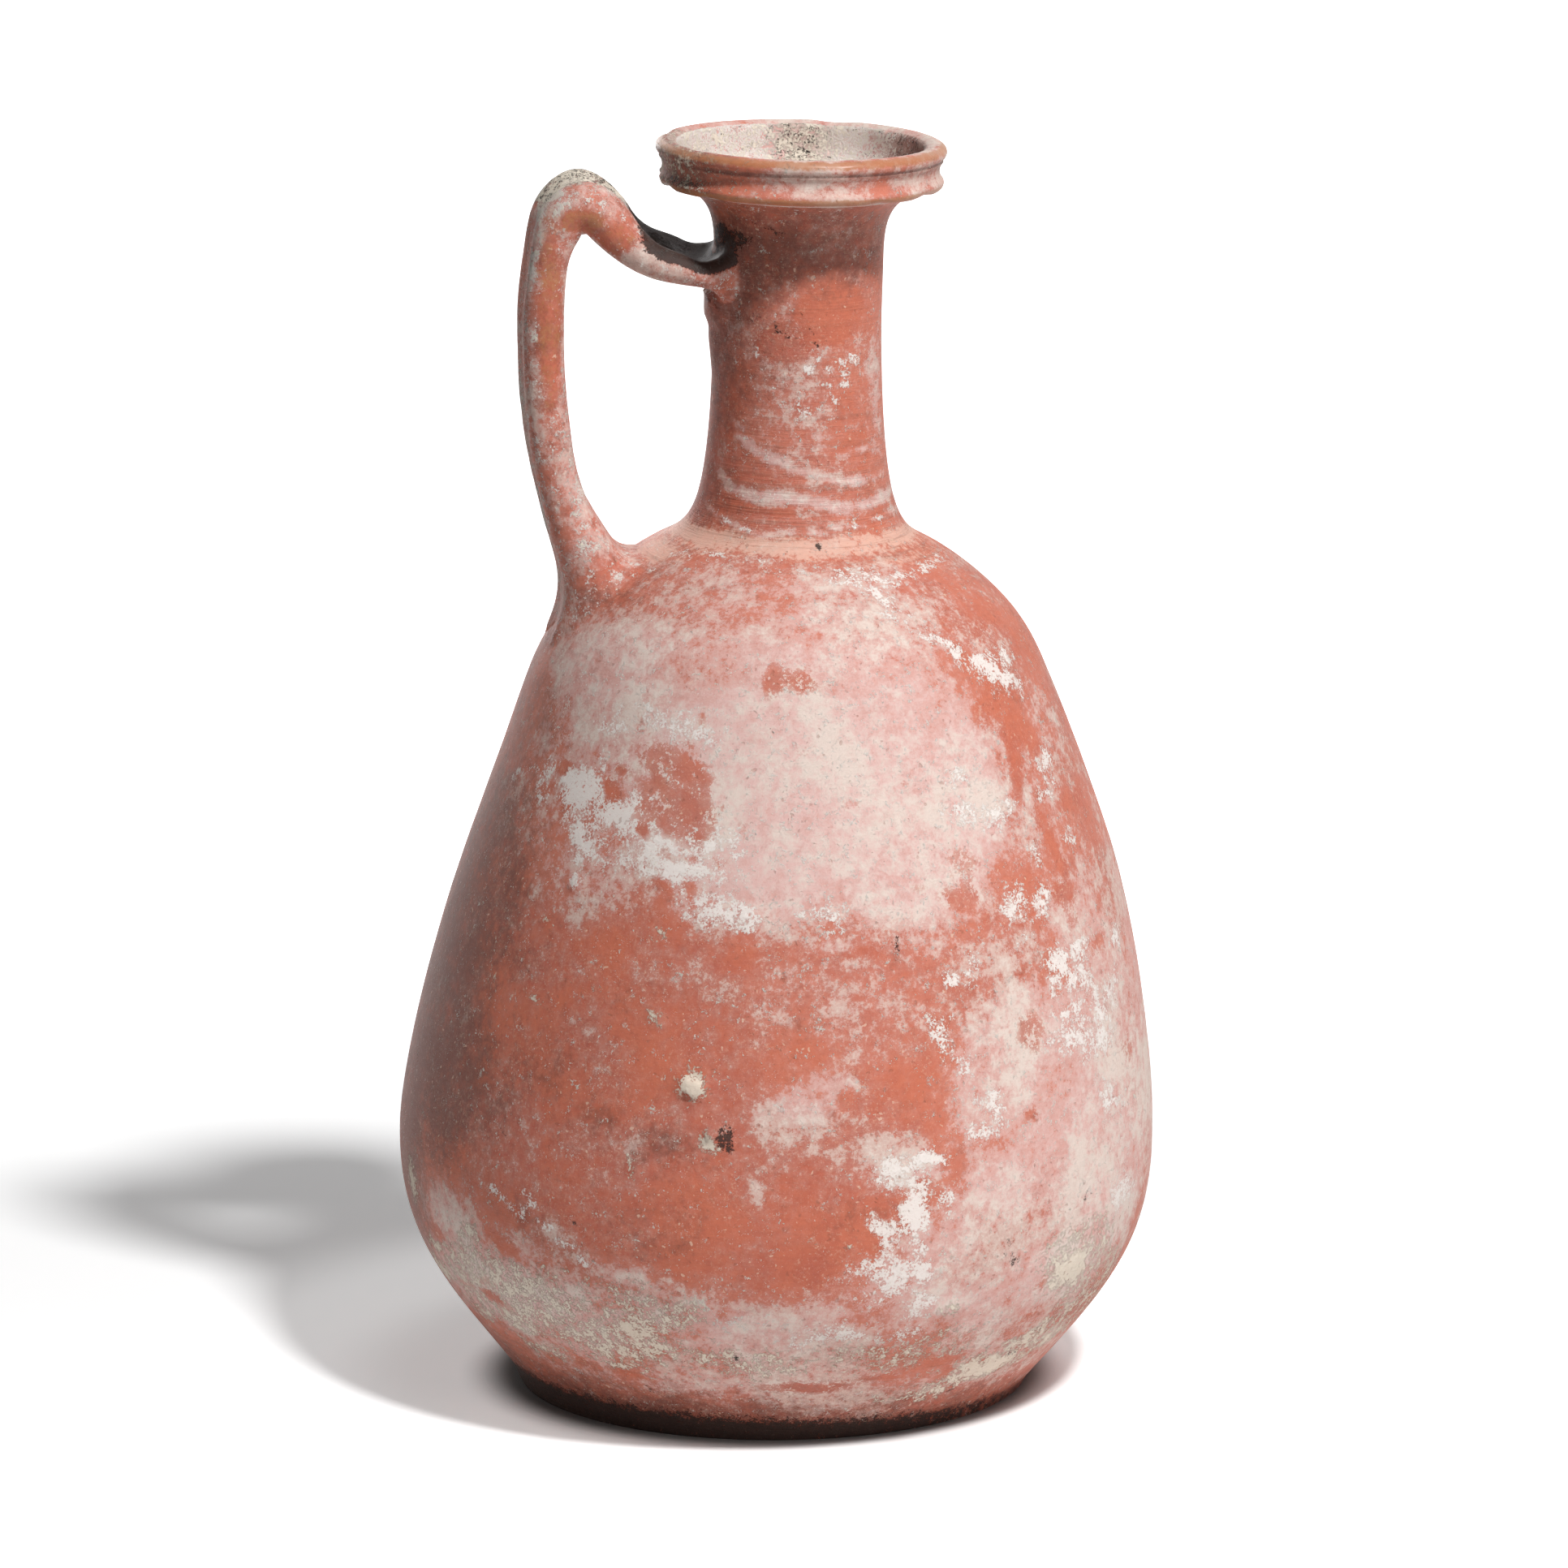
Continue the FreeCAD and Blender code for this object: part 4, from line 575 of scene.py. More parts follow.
def stretch(start, end, radius, side, spacing):
    # A straight or round stretch of the section, without its first point.
    start, end = np.array(start, float), np.array(end, float)
    points = np.array((start, end))
    if radius:
        chord = end - start
        length = np.hypot(*chord)
        across = np.array((chord[1], -chord[0])) / length * side
        middle = (start + end) / 2
        centre = middle - across * math.sqrt(radius ** 2 - length ** 2 / 4)
        first = math.atan2(*(start - centre)[::-1])
        sweep = side * 2 * math.asin(length / 2 / radius)
        angles = first + np.linspace(0, sweep, 40)
        points = centre + radius * np.stack((np.cos(angles), np.sin(angles)), axis=1)
    return evenly(points, spacing)[1:]


def section():
    # The whole section of the jug's wall, from the middle of the underside, round the rim, to the floor.
    shape = bpy.context.scene.jug_shape
    outline = [np.array(((UNDERSIDE[0][0], UNDERSIDE[0][1]),))]
    for radius, height, arc, side, spacing in UNDERSIDE[1:]:
        outline.append(stretch(outline[-1][-1], (radius, height), arc, side, spacing))
    outer = clamped_spline(BELLY_AND_NECK, 2000)
    low = outer[:, 1] < NECK_STARTS
    outline.append(evenly(outer[low], shape.row_spacing / MM)[1:])
    outline.append(evenly(outer[~low], shape.neck_spacing / MM))
    for radius, height, arc, side, spacing in RIM + INSIDE:
        outline.append(stretch(outline[-1][-1], (radius, height), arc, side, spacing))
    return np.concatenate(outline)


def deselect_all():
    bpy.ops.object.select_all(action="DESELECT")


def make_active(piece):
    deselect_all()
    piece.select_set(True)
    bpy.context.view_layer.objects.active = piece


def vertex_values(mesh, kind):
    flat = np.empty(len(mesh.vertices) * 3)
    mesh.vertices.foreach_get(kind, flat)
    return flat.reshape(-1, 3)


def select_vertices(piece, chosen):
    # Object mode: picks vertices and whatever edges and faces they hold between them.
    mesh = piece.data
    chosen = np.asarray(chosen, bool)
    mesh.vertices.foreach_set("select", chosen)
    ends = np.empty(len(mesh.edges) * 2, int)
    mesh.edges.foreach_get("vertices", ends)
    mesh.edges.foreach_set("select", chosen[ends.reshape(-1, 2)].all(axis=1))
    mesh.polygons.foreach_set("select", [all(chosen[i] for i in face.vertices) for face in mesh.polygons])


def apply_modifier(piece, kind, **settings):
    make_active(piece)
    modifier = piece.modifiers.new(kind.title(), kind)
    for name, value in settings.items():
        setattr(modifier, name, value)
    bpy.ops.object.modifier_apply(modifier=modifier.name)


def throw_form():
    # The section is drawn point by point and spun round the leaning axis, as on a wheel.
    along, right = turning_axes()
    rows = section() * MM
    places = [Vector(radius * right + height * along) for radius, height in rows]
    deselect_all()
    bpy.ops.mesh.primitive_plane_add(size=MM, location=places[0])
    form = bpy.context.active_object
    form.name = "jug_clay"
    bpy.ops.object.transform_apply(location=True, rotation=True, scale=True)
    bpy.ops.object.mode_set(mode="EDIT")
    bpy.ops.mesh.select_all(action="SELECT")
    bpy.ops.mesh.merge(type="CENTER")
    for here, there in zip(places, places[1:]):
        bpy.ops.mesh.extrude_region_move(TRANSFORM_OT_translate={"value": there - here})
    bpy.ops.mesh.select_all(action="SELECT")
    bpy.ops.mesh.spin(steps=bpy.context.scene.jug_shape.columns, angle=2 * math.pi, center=(0, 0, 0),
                      axis=Vector(along))
    bpy.ops.mesh.select_all(action="SELECT")
    bpy.ops.mesh.remove_doubles(threshold=0.02 * MM)
    bpy.ops.mesh.bisect(plane_co=(0, 0, 0), plane_no=(0, 0, 1), clear_inner=True, threshold=0.001 * MM)
    bpy.ops.mesh.select_all(action="DESELECT")
    bpy.ops.mesh.select_non_manifold()
    bpy.ops.mesh.bridge_edge_loops()
    bpy.ops.mesh.select_all(action="SELECT")
    bpy.ops.mesh.normals_make_consistent(inside=False)
    bpy.ops.object.mode_set(mode="OBJECT")
    return form


def pull_strap():
    # The strap comes from the frame's own solid: what stands out beyond the thrown form, closed behind.
    make_active(CLAY_NODE)
    bpy.ops.object.duplicate()
    strap = bpy.context.active_object
    bpy.ops.object.parent_clear(type="CLEAR_KEEP_TRANSFORM")
    strap.name = "strap"
    for key in list(strap.keys()):
        del strap[key]
    bpy.ops.object.mode_set(mode="EDIT")
    bpy.ops.mesh.select_all(action="SELECT")
    bpy.ops.mesh.remove_doubles(threshold=0.001 * MM)
    bpy.ops.object.mode_set(mode="OBJECT")
    outer = clamped_spline(BELLY_AND_NECK, 4000)
    radius, turn, height = off_axis(vertex_values(strap.data, "co") / MM)
    proud = radius - np.interp(height, outer[:, 1], outer[:, 0])
    stands_out = (proud > 0.03) & (height > STRAP_FOOT + 2) & (height < 204)
    stands_out |= (radius > FLANGE_RADIUS + 1) & (height > 190)
    chosen = np.array([any(stands_out[i] for i in face.vertices) for face in strap.data.polygons])
    strap.data.vertices.foreach_set("select", np.zeros(len(stands_out), bool))
    strap.data.edges.foreach_set("select", np.zeros(len(strap.data.edges), bool))
    strap.data.polygons.foreach_set("select", ~chosen)
    bpy.ops.object.mode_set(mode="EDIT")
    bpy.ops.mesh.delete(type="FACE")
    bpy.ops.mesh.select_all(action="DESELECT")
    bpy.ops.mesh.select_non_manifold()
    # Its open ends are drawn a tenth further in, so that they are closed inside the wall.
    along = turning_axes()[0]
    bpy.ops.mesh.extrude_region_move()
    bpy.ops.transform.resize(value=(0.9, 0.9, 1.0), center_override=Vector(along * 0.17))
    bpy.ops.mesh.edge_face_add()
    bpy.ops.object.mode_set(mode="OBJECT")
    return strap


def even_strap(strap):
    # The strap's faces are made even, then drawn back onto its own true surface.
    guide = strap.copy()
    guide.data = strap.data.copy()
    bpy.context.collection.objects.link(guide)
    apply_modifier(strap, "REMESH", mode="VOXEL", voxel_size=bpy.context.scene.jug_shape.strap_grain)
    apply_modifier(strap, "SMOOTH", factor=0.5, iterations=3)
    apply_modifier(strap, "SHRINKWRAP", target=guide, wrap_method="NEAREST_SURFACEPOINT")
    bpy.data.objects.remove(guide)


def join_clay(form, strap):
    apply_modifier(form, "BOOLEAN", object=strap, operation="UNION", solver="EXACT")
    bpy.data.objects.remove(strap)
    make_active(form)
    bpy.ops.object.mode_set(mode="EDIT")
    bpy.ops.mesh.select_all(action="SELECT")
    bpy.ops.mesh.remove_doubles(threshold=0.05 * MM)
    bpy.ops.mesh.normals_make_consistent(inside=False)
    bpy.ops.object.mode_set(mode="OBJECT")


def ovals(turn, height, radius, marks, edge):
    # How strongly the marks cover each point: every mark is an oval that fades over the width of its edge.
    cover = np.zeros(len(turn))
    for at, up, half_wide, half_high, tilt, strength in marks:
        across = np.radians(turned_from(turn, at)) * radius
        rise = height - up
        spread = half_wide + half_high + edge
        near = (np.abs(across) < spread) & (np.abs(rise) < spread)
        slope = math.radians(tilt)
        along = across[near] * math.cos(slope) + rise[near] * math.sin(slope)
        over = rise[near] * math.cos(slope) - across[near] * math.sin(slope)
        smaller = min(half_wide, half_high)
        inside = (1 - np.hypot(along / half_wide, over / half_high)) * smaller
        share = np.clip(0.5 + inside / min(edge, 2.5 * smaller), 0, 1)
        cover[near] = np.maximum(cover[near], strength * share)
    return cover


def lumps(spots, marks, edge):
    # The same in three directions, for the strap.
    cover = np.zeros(len(spots))
    for mark in marks:
        middle, halves, strength = np.array(mark[:3]), np.array(mark[3:6]), mark[6]
        smaller = halves.min()
        inside = (1 - np.linalg.norm((spots - middle) / halves, axis=1)) * smaller
        cover = np.maximum(cover, strength * np.clip(0.5 + inside / min(edge, 2.5 * smaller), 0, 1))
    return cover


def stirred(points, grain, amount):
    # A slow swirl of the places themselves, so that no mark keeps a clean oval edge.
    noise.seed_set(SWIRL_SEED)
    swirl = np.array([noise.noise_vector(Vector(point) / grain) for point in points])
    return swirl * amount


def near_ring(radius, height, ring, reach):
    return np.clip(1.5 - np.hypot(radius - ring[0], height - ring[1]) / reach, 0, 1)


def outer_radius(height):
    outer = clamped_spline(BELLY_AND_NECK, 4000)
    return np.where(height > outer[-1, 1], FLANGE_RADIUS, np.interp(height, outer[:, 1], outer[:, 0]))


def strap_places(points):
    # Distance out along the strap's own direction, height, and distance to the front of its middle.
    along, right = turning_axes()
    yaw = bpy.context.scene.jug_shape.strap_yaw
    side, back = points @ right, points[:, 1]
    out = -side * math.cos(yaw) - back * math.sin(yaw)
    front = side * math.sin(yaw) - back * math.cos(yaw)
    return np.stack((out, points @ along, front), axis=1)


def find_zones(points):
    radius, turn, height = off_axis(points)
    wall = outer_radius(height)
    strap = (radius - wall > 0.4) & (height > STRAP_FOOT) & ((height < 205) | (radius > 26))
    cup = (radius < 21.2) & (height > FLANGE_FOOT)
    inner = (radius < wall - 1.5) & (height > INNER_FLOOR) & (height < FLANGE_FOOT)
    return strap, cup, inner


def paint_strap(points, facing_up, cover):
    # Lime and dirt gather where the strap faces up, pale on the crest. The dip beside the neck is painted
    # dark, for the rim's shadow over dirt.
    spots = strap_places(points + stirred(points, 3.0, 0.9))
    top = np.clip((facing_up - 0.2) / 0.35, 0, 1) * np.clip((spots[:, 1] - 186) / 6, 0, 1)
    crest = top * np.clip((spots[:, 0] - 25) / 5, 0, 1) * np.clip((8.5 - spots[:, 2]) / 3, 0, 1)
    shaded_dip = top * np.clip((29 - spots[:, 0]) / 4, 0, 1)
    caked = lumps(spots, STRAP_CRUST, 2.0)
    cover["crust"] = np.maximum(np.maximum(0.8 * caked, 0.46 * crest), 0.22)
    cover["cream"] = np.maximum(0.74 * crest, 0.5 * caked)
    cover["bare"] = lumps(spots, STRAP_BARE, 2.0) * (1 - crest)
    stained_and_shaded = lumps(spots, STRAP_STAIN_AND_SHADE, 3.0)
    cover["brown"] = np.maximum(np.maximum(stained_and_shaded, shaded_dip), np.maximum(0.3, 0.8 * crest))
    cover["dark"] = np.maximum(lumps(spots, STRAP_PITS, 4.0), np.maximum(1.4 * shaded_dip, 0.36 * crest))
    cover["veil"] = np.maximum(0.5 + 0.3 * lumps(spots, STRAP_CRUST, 6.0), 0.6 * crest) * (1 - 0.7 * shaded_dip)
    cover["worn"] = 0.45 * cover["bare"]


def paint_cup(turn, cover):
    # The mouth cup is limed all over. On one side it is painted browner and darker, for the rim's shade,
    # with more dark spots, and it is creamier, browner and darker at the back.
    cup_shade = np.clip(1.6 - np.abs(turned_from(turn, CUP_SHADE_TURN)) / 35, 0, 1)
    back = np.clip(1.4 - np.abs(np.abs(turn) - 180) / 14, 0, 1)
    cover["cream"] = 0.42 - 0.3 * cup_shade + 0.15 * back
    cover["crust"] = 0.72 - 0.5 * cup_shade - 0.25 * back
    cover["veil"] = 0.95 - 0.3 * cup_shade
    cover["brown"] = 0.8 * cup_shade + 0.3 * back
    cover["dark"] = 0.14 + 0.18 * cup_shade + 0.2 * back


def paint_rim(radius, turn, height, cover):
    # The rim's edges are rubbed bare, its groove is painted brown as shade, and its left side is darker and
    # browner.
    rim = (height > 205.4) & (radius > 20)
    left = np.clip(1.5 - np.abs(turned_from(turn, DARKER_RIM_TURN)) / 40, 0, 1)
    edges = np.maximum(near_ring(radius, height, (23.8, 213.2), 0.9),
                       near_ring(radius, height, (24.2, 206.8), 0.7))
    cover["worn"] = np.where(rim, edges, cover["worn"])
    cover["veil"] = np.where(rim, 0.52 - 0.3 * left, cover["veil"])
    cover["veil"] = np.where(rim & (radius < 22.6) & (height > 212.5), 0.75, cover["veil"])
    cover["cream"] = np.where(rim & (height > 206), 0.42 * left, cover["cream"])
    # Painted shade in the groove under the lip.
    groove = near_ring(radius, height, (24.0, 211.3), 0.5)
    cover["brown"] = np.where(rim, np.maximum(0.7 * left, 0.8 * groove), cover["brown"])


def paint_clay(form):
    # What lies on the clay, as strengths from 0 to 1 at each point, three to an attribute.
    points = vertex_values(form.data, "co") / MM
    strap, cup, inner = find_zones(points)
    radius, turn, height = off_axis(points)
    facing_up = vertex_values(form.data, "normal") @ turning_axes()[0]
    neck = np.clip(radius / 60, 0.25, 1)[:, None]
    swirl = stirred(points, 7.0, 2.0) * neck + stirred(points, 2.2, 0.9) * neck
    soft_radius, soft_turn, soft_height = off_axis(points + swirl)
    soft_height = np.where(np.abs(height - 146) < 8, height + (soft_height - height) * 0.3, soft_height)
    cover = {layer: np.zeros(len(points)) for layers in ATTRIBUTES.values() for layer in layers}
    for layer, marks, edge in LAYERS:
        cover[layer] = np.maximum(cover[layer], ovals(soft_turn, soft_height, radius, marks, edge))
    cover["wheel"] = np.interp(height, *np.array(WHEEL_LINES).T)
    # The foot ring is painted dark brown: soot, and painted shade under the overhanging belly.
    foot = np.clip((4.5 - height) / 1.5, 0, 1)
    cover["brown"] = np.maximum(cover["brown"], 0.7 * foot)
    cover["veil"] = np.maximum(cover["veil"], 0.25) * (1 - 0.8 * foot)
    cover["crust"] = np.maximum(cover["crust"], 0.04 + 0.12 * cover["veil"])
    foot_soot_and_shade = np.clip((6.5 - height) / 4, 0, 1)
    foot_soot_and_shade *= np.clip(1.4 - np.abs(turned_from(turn, SOOT_AND_SHADE_TURN)) / 110, 0, 1)
    cover["brown"] = np.maximum(cover["brown"], foot_soot_and_shade)
    cover["dark"] = np.maximum(cover["dark"], 0.8 * foot_soot_and_shade)
    paint_rim(radius, turn, height, cover)
    zones = ((strap, lambda spots, part: paint_strap(points[spots], facing_up[spots], part)),
             (cup, lambda spots, part: paint_cup(turn[spots], part)),
             (inner, lambda spots, part: None))
    for spots, paint in zones:
        part = {layer: np.zeros(spots.sum()) for layer in cover}
        paint(spots, part)
        for layer, strength in part.items():
            cover[layer][spots] = strength
    for name, layers in ATTRIBUTES.items():
        colours = np.ones((len(points), 4))
        colours[:, :3] = np.stack([cover[layer] for layer in layers], axis=1)
        attribute = form.data.color_attributes.new(name, "FLOAT_COLOR", "POINT")
        attribute.data.foreach_set("color", colours.ravel())
    return cover


def refine_spots(form):
    # The raised spots need smaller faces than the rest of the belly.
    radius, turn, height = off_axis(vertex_values(form.data, "co") / MM)
    near = np.zeros(len(turn), bool)
    for at, up, half_wide, half_high, tilt, rise in RAISED:
        across = np.radians(turned_from(turn, at)) * radius
        close = np.hypot(across, height - up) < 1.3 * max(half_wide, half_high)
        near |= close & (radius > 30) & (rise > 0.6)
    near &= np.abs(radius - outer_radius(height)) < 0.3
    select_vertices(form, near)
    make_active(form)
    bpy.ops.object.mode_set(mode="EDIT")
    bpy.ops.mesh.subdivide(number_cuts=2)
    bpy.ops.object.mode_set(mode="OBJECT")


def shape_clay(form, cover):
    # The belly is let down a little on one side, the wall gets its slow hollows, and the lime its thickness.
    points = vertex_values(form.data, "co") / MM
    right = turning_axes()[1]
    strap, cup, inner = find_zones(points)
    radius, turn, height = off_axis(points)
    normals = vertex_values(form.data, "normal")
    depth = bpy.context.scene.jug_shape.unevenness / MM
    slow = np.array([noise.noise(Vector(point) / 26.0) for point in points])
    small = np.array([noise.noise(Vector(point) / 5.0) for point in points])
    outside = ~(strap | cup | inner)
    steady = np.clip((height - 3) / 8, 0, 1) * np.clip((radius - 10) / 25, 0.3, 1)
    raised = np.where(outside, -depth * steady * (0.5 + 0.5 * slow), 0.0)
    stirred_turn = turn + np.degrees(small * 3.0 / np.maximum(radius, 10))
    raised += outside * steady * (0.2 * cover["cream"] + 0.1 * cover["crust"])
    raised += np.where(outside, ovals(stirred_turn, height, radius, RAISED, 0.9), 0)
    raised += np.where(outside, ovals(turn, height, radius, SMEARED, 4.0), 0)
    raised -= np.where(outside & (radius > 20), ovals(turn, height + small, radius, CHIPPED, 1.4), 0)
    raised += np.where(cup & (np.abs(turn) > 120), 0.6 * np.clip(small, 0, 1), 0)
    raised += np.where(strap, 0.14 * cover["crust"] * (1 + small) - 0.12 * np.abs(slow), 0)
    points += normals * raised[:, None]
    points += right * np.interp(height, *np.array(BOW).T)[:, None]
    points = np.clip(points, np.array(LOW_CORNER) / MM, np.array(HIGH_CORNER) / MM)
    form.data.vertices.foreach_set("co", (points * MM).ravel())
    form.data.update()


def join_node(tree, kind, inputs, **settings):
    # A node with its settings, and each input given a value or joined to another node's output.
    node = tree.nodes.new(kind)
    for name, value in settings.items():
        setattr(node, name, value)
    for name, value in inputs.items():
        if isinstance(value, bpy.types.NodeSocket):
            tree.links.new(value, node.inputs[name])
        else:
            node.inputs[name].default_value = value
    return node


def arithmetic(tree, operation, *values):
    return join_node(tree, "ShaderNodeMath", dict(enumerate(values)), operation=operation).outputs[0]


def blend(tree, share, low, high):
    colours = {0: share, 6: low, 7: high}
    return join_node(tree, "ShaderNodeMix", colours, data_type="RGBA").outputs[2]


def smooth_step(tree, value, low, high, bottom=0.0, top=1.0):
    inputs = {"Value": value, "From Min": low, "From Max": high, "To Min": bottom, "To Max": top}
    return join_node(tree, "ShaderNodeMapRange", inputs, interpolation_type="SMOOTHSTEP").outputs[0]


def speckle(tree, position, scale, detail=4.0, roughness=0.6):
    inputs = {"Vector": position, "Scale": scale, "Detail": detail, "Roughness": roughness}
    return join_node(tree, "ShaderNodeTexNoise", inputs).outputs[0]


def new_group(name, inputs, outputs):
    tree = bpy.data.node_groups.new(name, "ShaderNodeTree")
    for label, kind, value in inputs:
        socket = tree.interface.new_socket(name=label, in_out="INPUT", socket_type=kind)
        if value is not None:
            socket.default_value = value
    for label, kind in outputs:
        tree.interface.new_socket(name=label, in_out="OUTPUT", socket_type=kind)
    return tree, tree.nodes.new("NodeGroupInput").outputs, tree.nodes.new("NodeGroupOutput").inputs


def place_group(tree, name, **inputs):
    node = join_node(tree, "ShaderNodeGroup", {}, node_tree=bpy.data.node_groups[name])
    for label, value in inputs.items():
        socket = node.inputs[label.replace("_", " ")]
        if isinstance(value, bpy.types.NodeSocket):
            tree.links.new(value, socket)
        else:
            socket.default_value = value
    return node.outputs


def ragged_edge_group():
    # Turns a soft cover into a patch with a torn edge and pinholes.
    tree, given, result = new_group(
        "Ragged edge",
        (("Position", "NodeSocketVector", None), ("Cover", "NodeSocketFloat", 0.5),
         ("Grain", "NodeSocketFloat", 0.6), ("Tearing", "NodeSocketFloat", 0.9),
         ("Softness", "NodeSocketFloat", 0.08)),
        (("Mask", "NodeSocketFloat"),))
    torn = speckle(tree, given["Position"], given["Grain"], 6.0, 0.7)
    fine = arithmetic(tree, "MULTIPLY", given["Grain"], 4.3)
    holed = speckle(tree, given["Position"], fine, 4.0, 0.72)
    offset = arithmetic(tree, "SUBTRACT", arithmetic(tree, "ADD", torn, holed), 1.0)
    value = arithmetic(tree, "MULTIPLY_ADD", offset, given["Tearing"], given["Cover"])
    low = arithmetic(tree, "SUBTRACT", 0.5, given["Softness"])
    high = arithmetic(tree, "ADD", 0.5, given["Softness"])
    tree.links.new(smooth_step(tree, value, low, high), result["Mask"])


def veil_group():
    # A thin haze, a film with a torn edge over it and flakes on top, pinker in some places than in others.
    tree, given, result = new_group(
        "Lime veil", (("Position", "NodeSocketVector", None), ("Cover", "NodeSocketFloat", 0.5)),
        (("Mask", "NodeSocketFloat"), ("Tint", "NodeSocketFloat")))
    wide = speckle(tree, given["Position"], 0.06, 6.0, 0.62)
    close = speckle(tree, given["Position"], 0.45, 6.0, 0.72)
    grain = speckle(tree, given["Position"], 1.5, 6.0, 0.82)
    cloud = arithmetic(tree, "SUBTRACT", arithmetic(tree, "ADD", close, wide), 1.0)
    drift = arithmetic(tree, "MULTIPLY_ADD", cloud, 1.3, given["Cover"])
    dusty = arithmetic(tree, "MULTIPLY_ADD", arithmetic(tree, "SUBTRACT", grain, 0.5), 1.2, drift)
    haze = smooth_step(tree, drift, 0.0, 1.0, 0.0, 0.36)
    film = smooth_step(tree, dusty, 0.44, 0.62, 0.0, 0.4)
    flakes = smooth_step(tree, arithmetic(tree, "MULTIPLY_ADD", grain, 1.6, drift), 1.45, 1.75, 0.0, 0.24)
    tree.links.new(arithmetic(tree, "ADD", arithmetic(tree, "ADD", haze, film), flakes), result["Mask"])
    tint = arithmetic(tree, "MULTIPLY_ADD", close, 0.8, wide)
    tree.links.new(smooth_step(tree, tint, 0.82, 1.05), result["Tint"])


def flecks_group():
    # Scattered specks of uneven size, some of them drawn out like hairs.
    tree, given, result = new_group(
        "Flecks",
        (("Position", "NodeSocketVector", None), ("Spacing", "NodeSocketFloat", 1.5),
         ("Size", "NodeSocketFloat", 0.2), ("Share", "NodeSocketFloat", 0.5)),
        (("Mask", "NodeSocketFloat"),))
    swirl = join_node(tree, "ShaderNodeTexNoise", {"Vector": given["Position"], "Scale": 0.9, "Detail": 2.0})
    shift = {0: swirl.outputs[1], 1: (1.6, 1.6, 1.6), 2: given["Position"]}
    moved = join_node(tree, "ShaderNodeVectorMath", shift, operation="MULTIPLY_ADD").outputs[0]
    scale = arithmetic(tree, "DIVIDE", 1.0, given["Spacing"])
    cells = join_node(tree, "ShaderNodeTexVoronoi", {"Vector": moved, "Scale": scale})
    pick = join_node(tree, "ShaderNodeSeparateColor", {0: cells.outputs["Color"]})
    chosen = arithmetic(tree, "LESS_THAN", pick.outputs[0], given["Share"])
    size = arithmetic(tree, "MULTIPLY", given["Size"], pick.outputs[1])
    spot = smooth_step(tree, arithmetic(tree, "SUBTRACT", size, cells.outputs["Distance"]), -0.04, 0.04)
    tree.links.new(arithmetic(tree, "MULTIPLY", spot, chosen), result["Mask"])


def dust_group():
    # Fine pale dust caught in the slip, thicker in some places than in others.
    tree, given, result = new_group(
        "Dust", (("Position", "NodeSocketVector", None),), (("Mask", "NodeSocketFloat"),))
    fine = smooth_step(tree, speckle(tree, given["Position"], 1.7, 5.0, 0.78), 0.53, 0.66)
    patch = smooth_step(tree, speckle(tree, given["Position"], 0.12, 5.0), 0.38, 0.62, 0.1, 0.75)
    tree.links.new(arithmetic(tree, "MULTIPLY", fine, patch), result["Mask"])


def slip_group():
    # The fired slip's own colour, brushed on unevenly.
    shades = bpy.context.scene.jug_colours
    tree, given, result = new_group(
        "Red slip",
        (("Position", "NodeSocketVector", None), ("Light slip", "NodeSocketColor", shades.slip_orange),
         ("Deep slip", "NodeSocketColor", shades.slip_red)),
        (("Color", "NodeSocketColor"),))
    wide = smooth_step(tree, speckle(tree, given["Position"], 0.06, 4.0, 0.6), 0.35, 0.65)
    fine = smooth_step(tree, speckle(tree, given["Position"], 0.7, 4.0, 0.7), 0.3, 0.7)
    share = arithmetic(tree, "MULTIPLY_ADD", fine, 0.35, arithmetic(tree, "MULTIPLY", wide, 0.65))
    tree.links.new(blend(tree, share, given["Light slip"], given["Deep slip"]), result["Color"])


def wheel_group():
    # Fine level lines left by the wheel, as a height and as a mask of the deeper ones.
    tree, given, result = new_group(
        "Wheel lines", (("Position", "NodeSocketVector", None), ("Strength", "NodeSocketFloat", 0.5)),
        (("Height", "NodeSocketFloat"), ("Mask", "NodeSocketFloat")))
    squeeze = {0: given["Position"], 1: (0.03, 0.03, 1.0)}
    level = join_node(tree, "ShaderNodeVectorMath", squeeze, operation="MULTIPLY").outputs[0]
    lines = speckle(tree, level, 1.1, 5.0, 0.75)
    tree.links.new(arithmetic(tree, "MULTIPLY", lines, given["Strength"]), result["Height"])
    deep = smooth_step(tree, lines, 0.5, 0.62)
    tree.links.new(arithmetic(tree, "MULTIPLY", deep, given["Strength"]), result["Mask"])


def layers_of(tree, attribute):
    source = join_node(tree, "ShaderNodeAttribute", {}, attribute_name=attribute)
    parts = join_node(tree, "ShaderNodeSeparateColor", {0: source.outputs["Color"]})
    return dict(zip(ATTRIBUTES[attribute], parts.outputs))


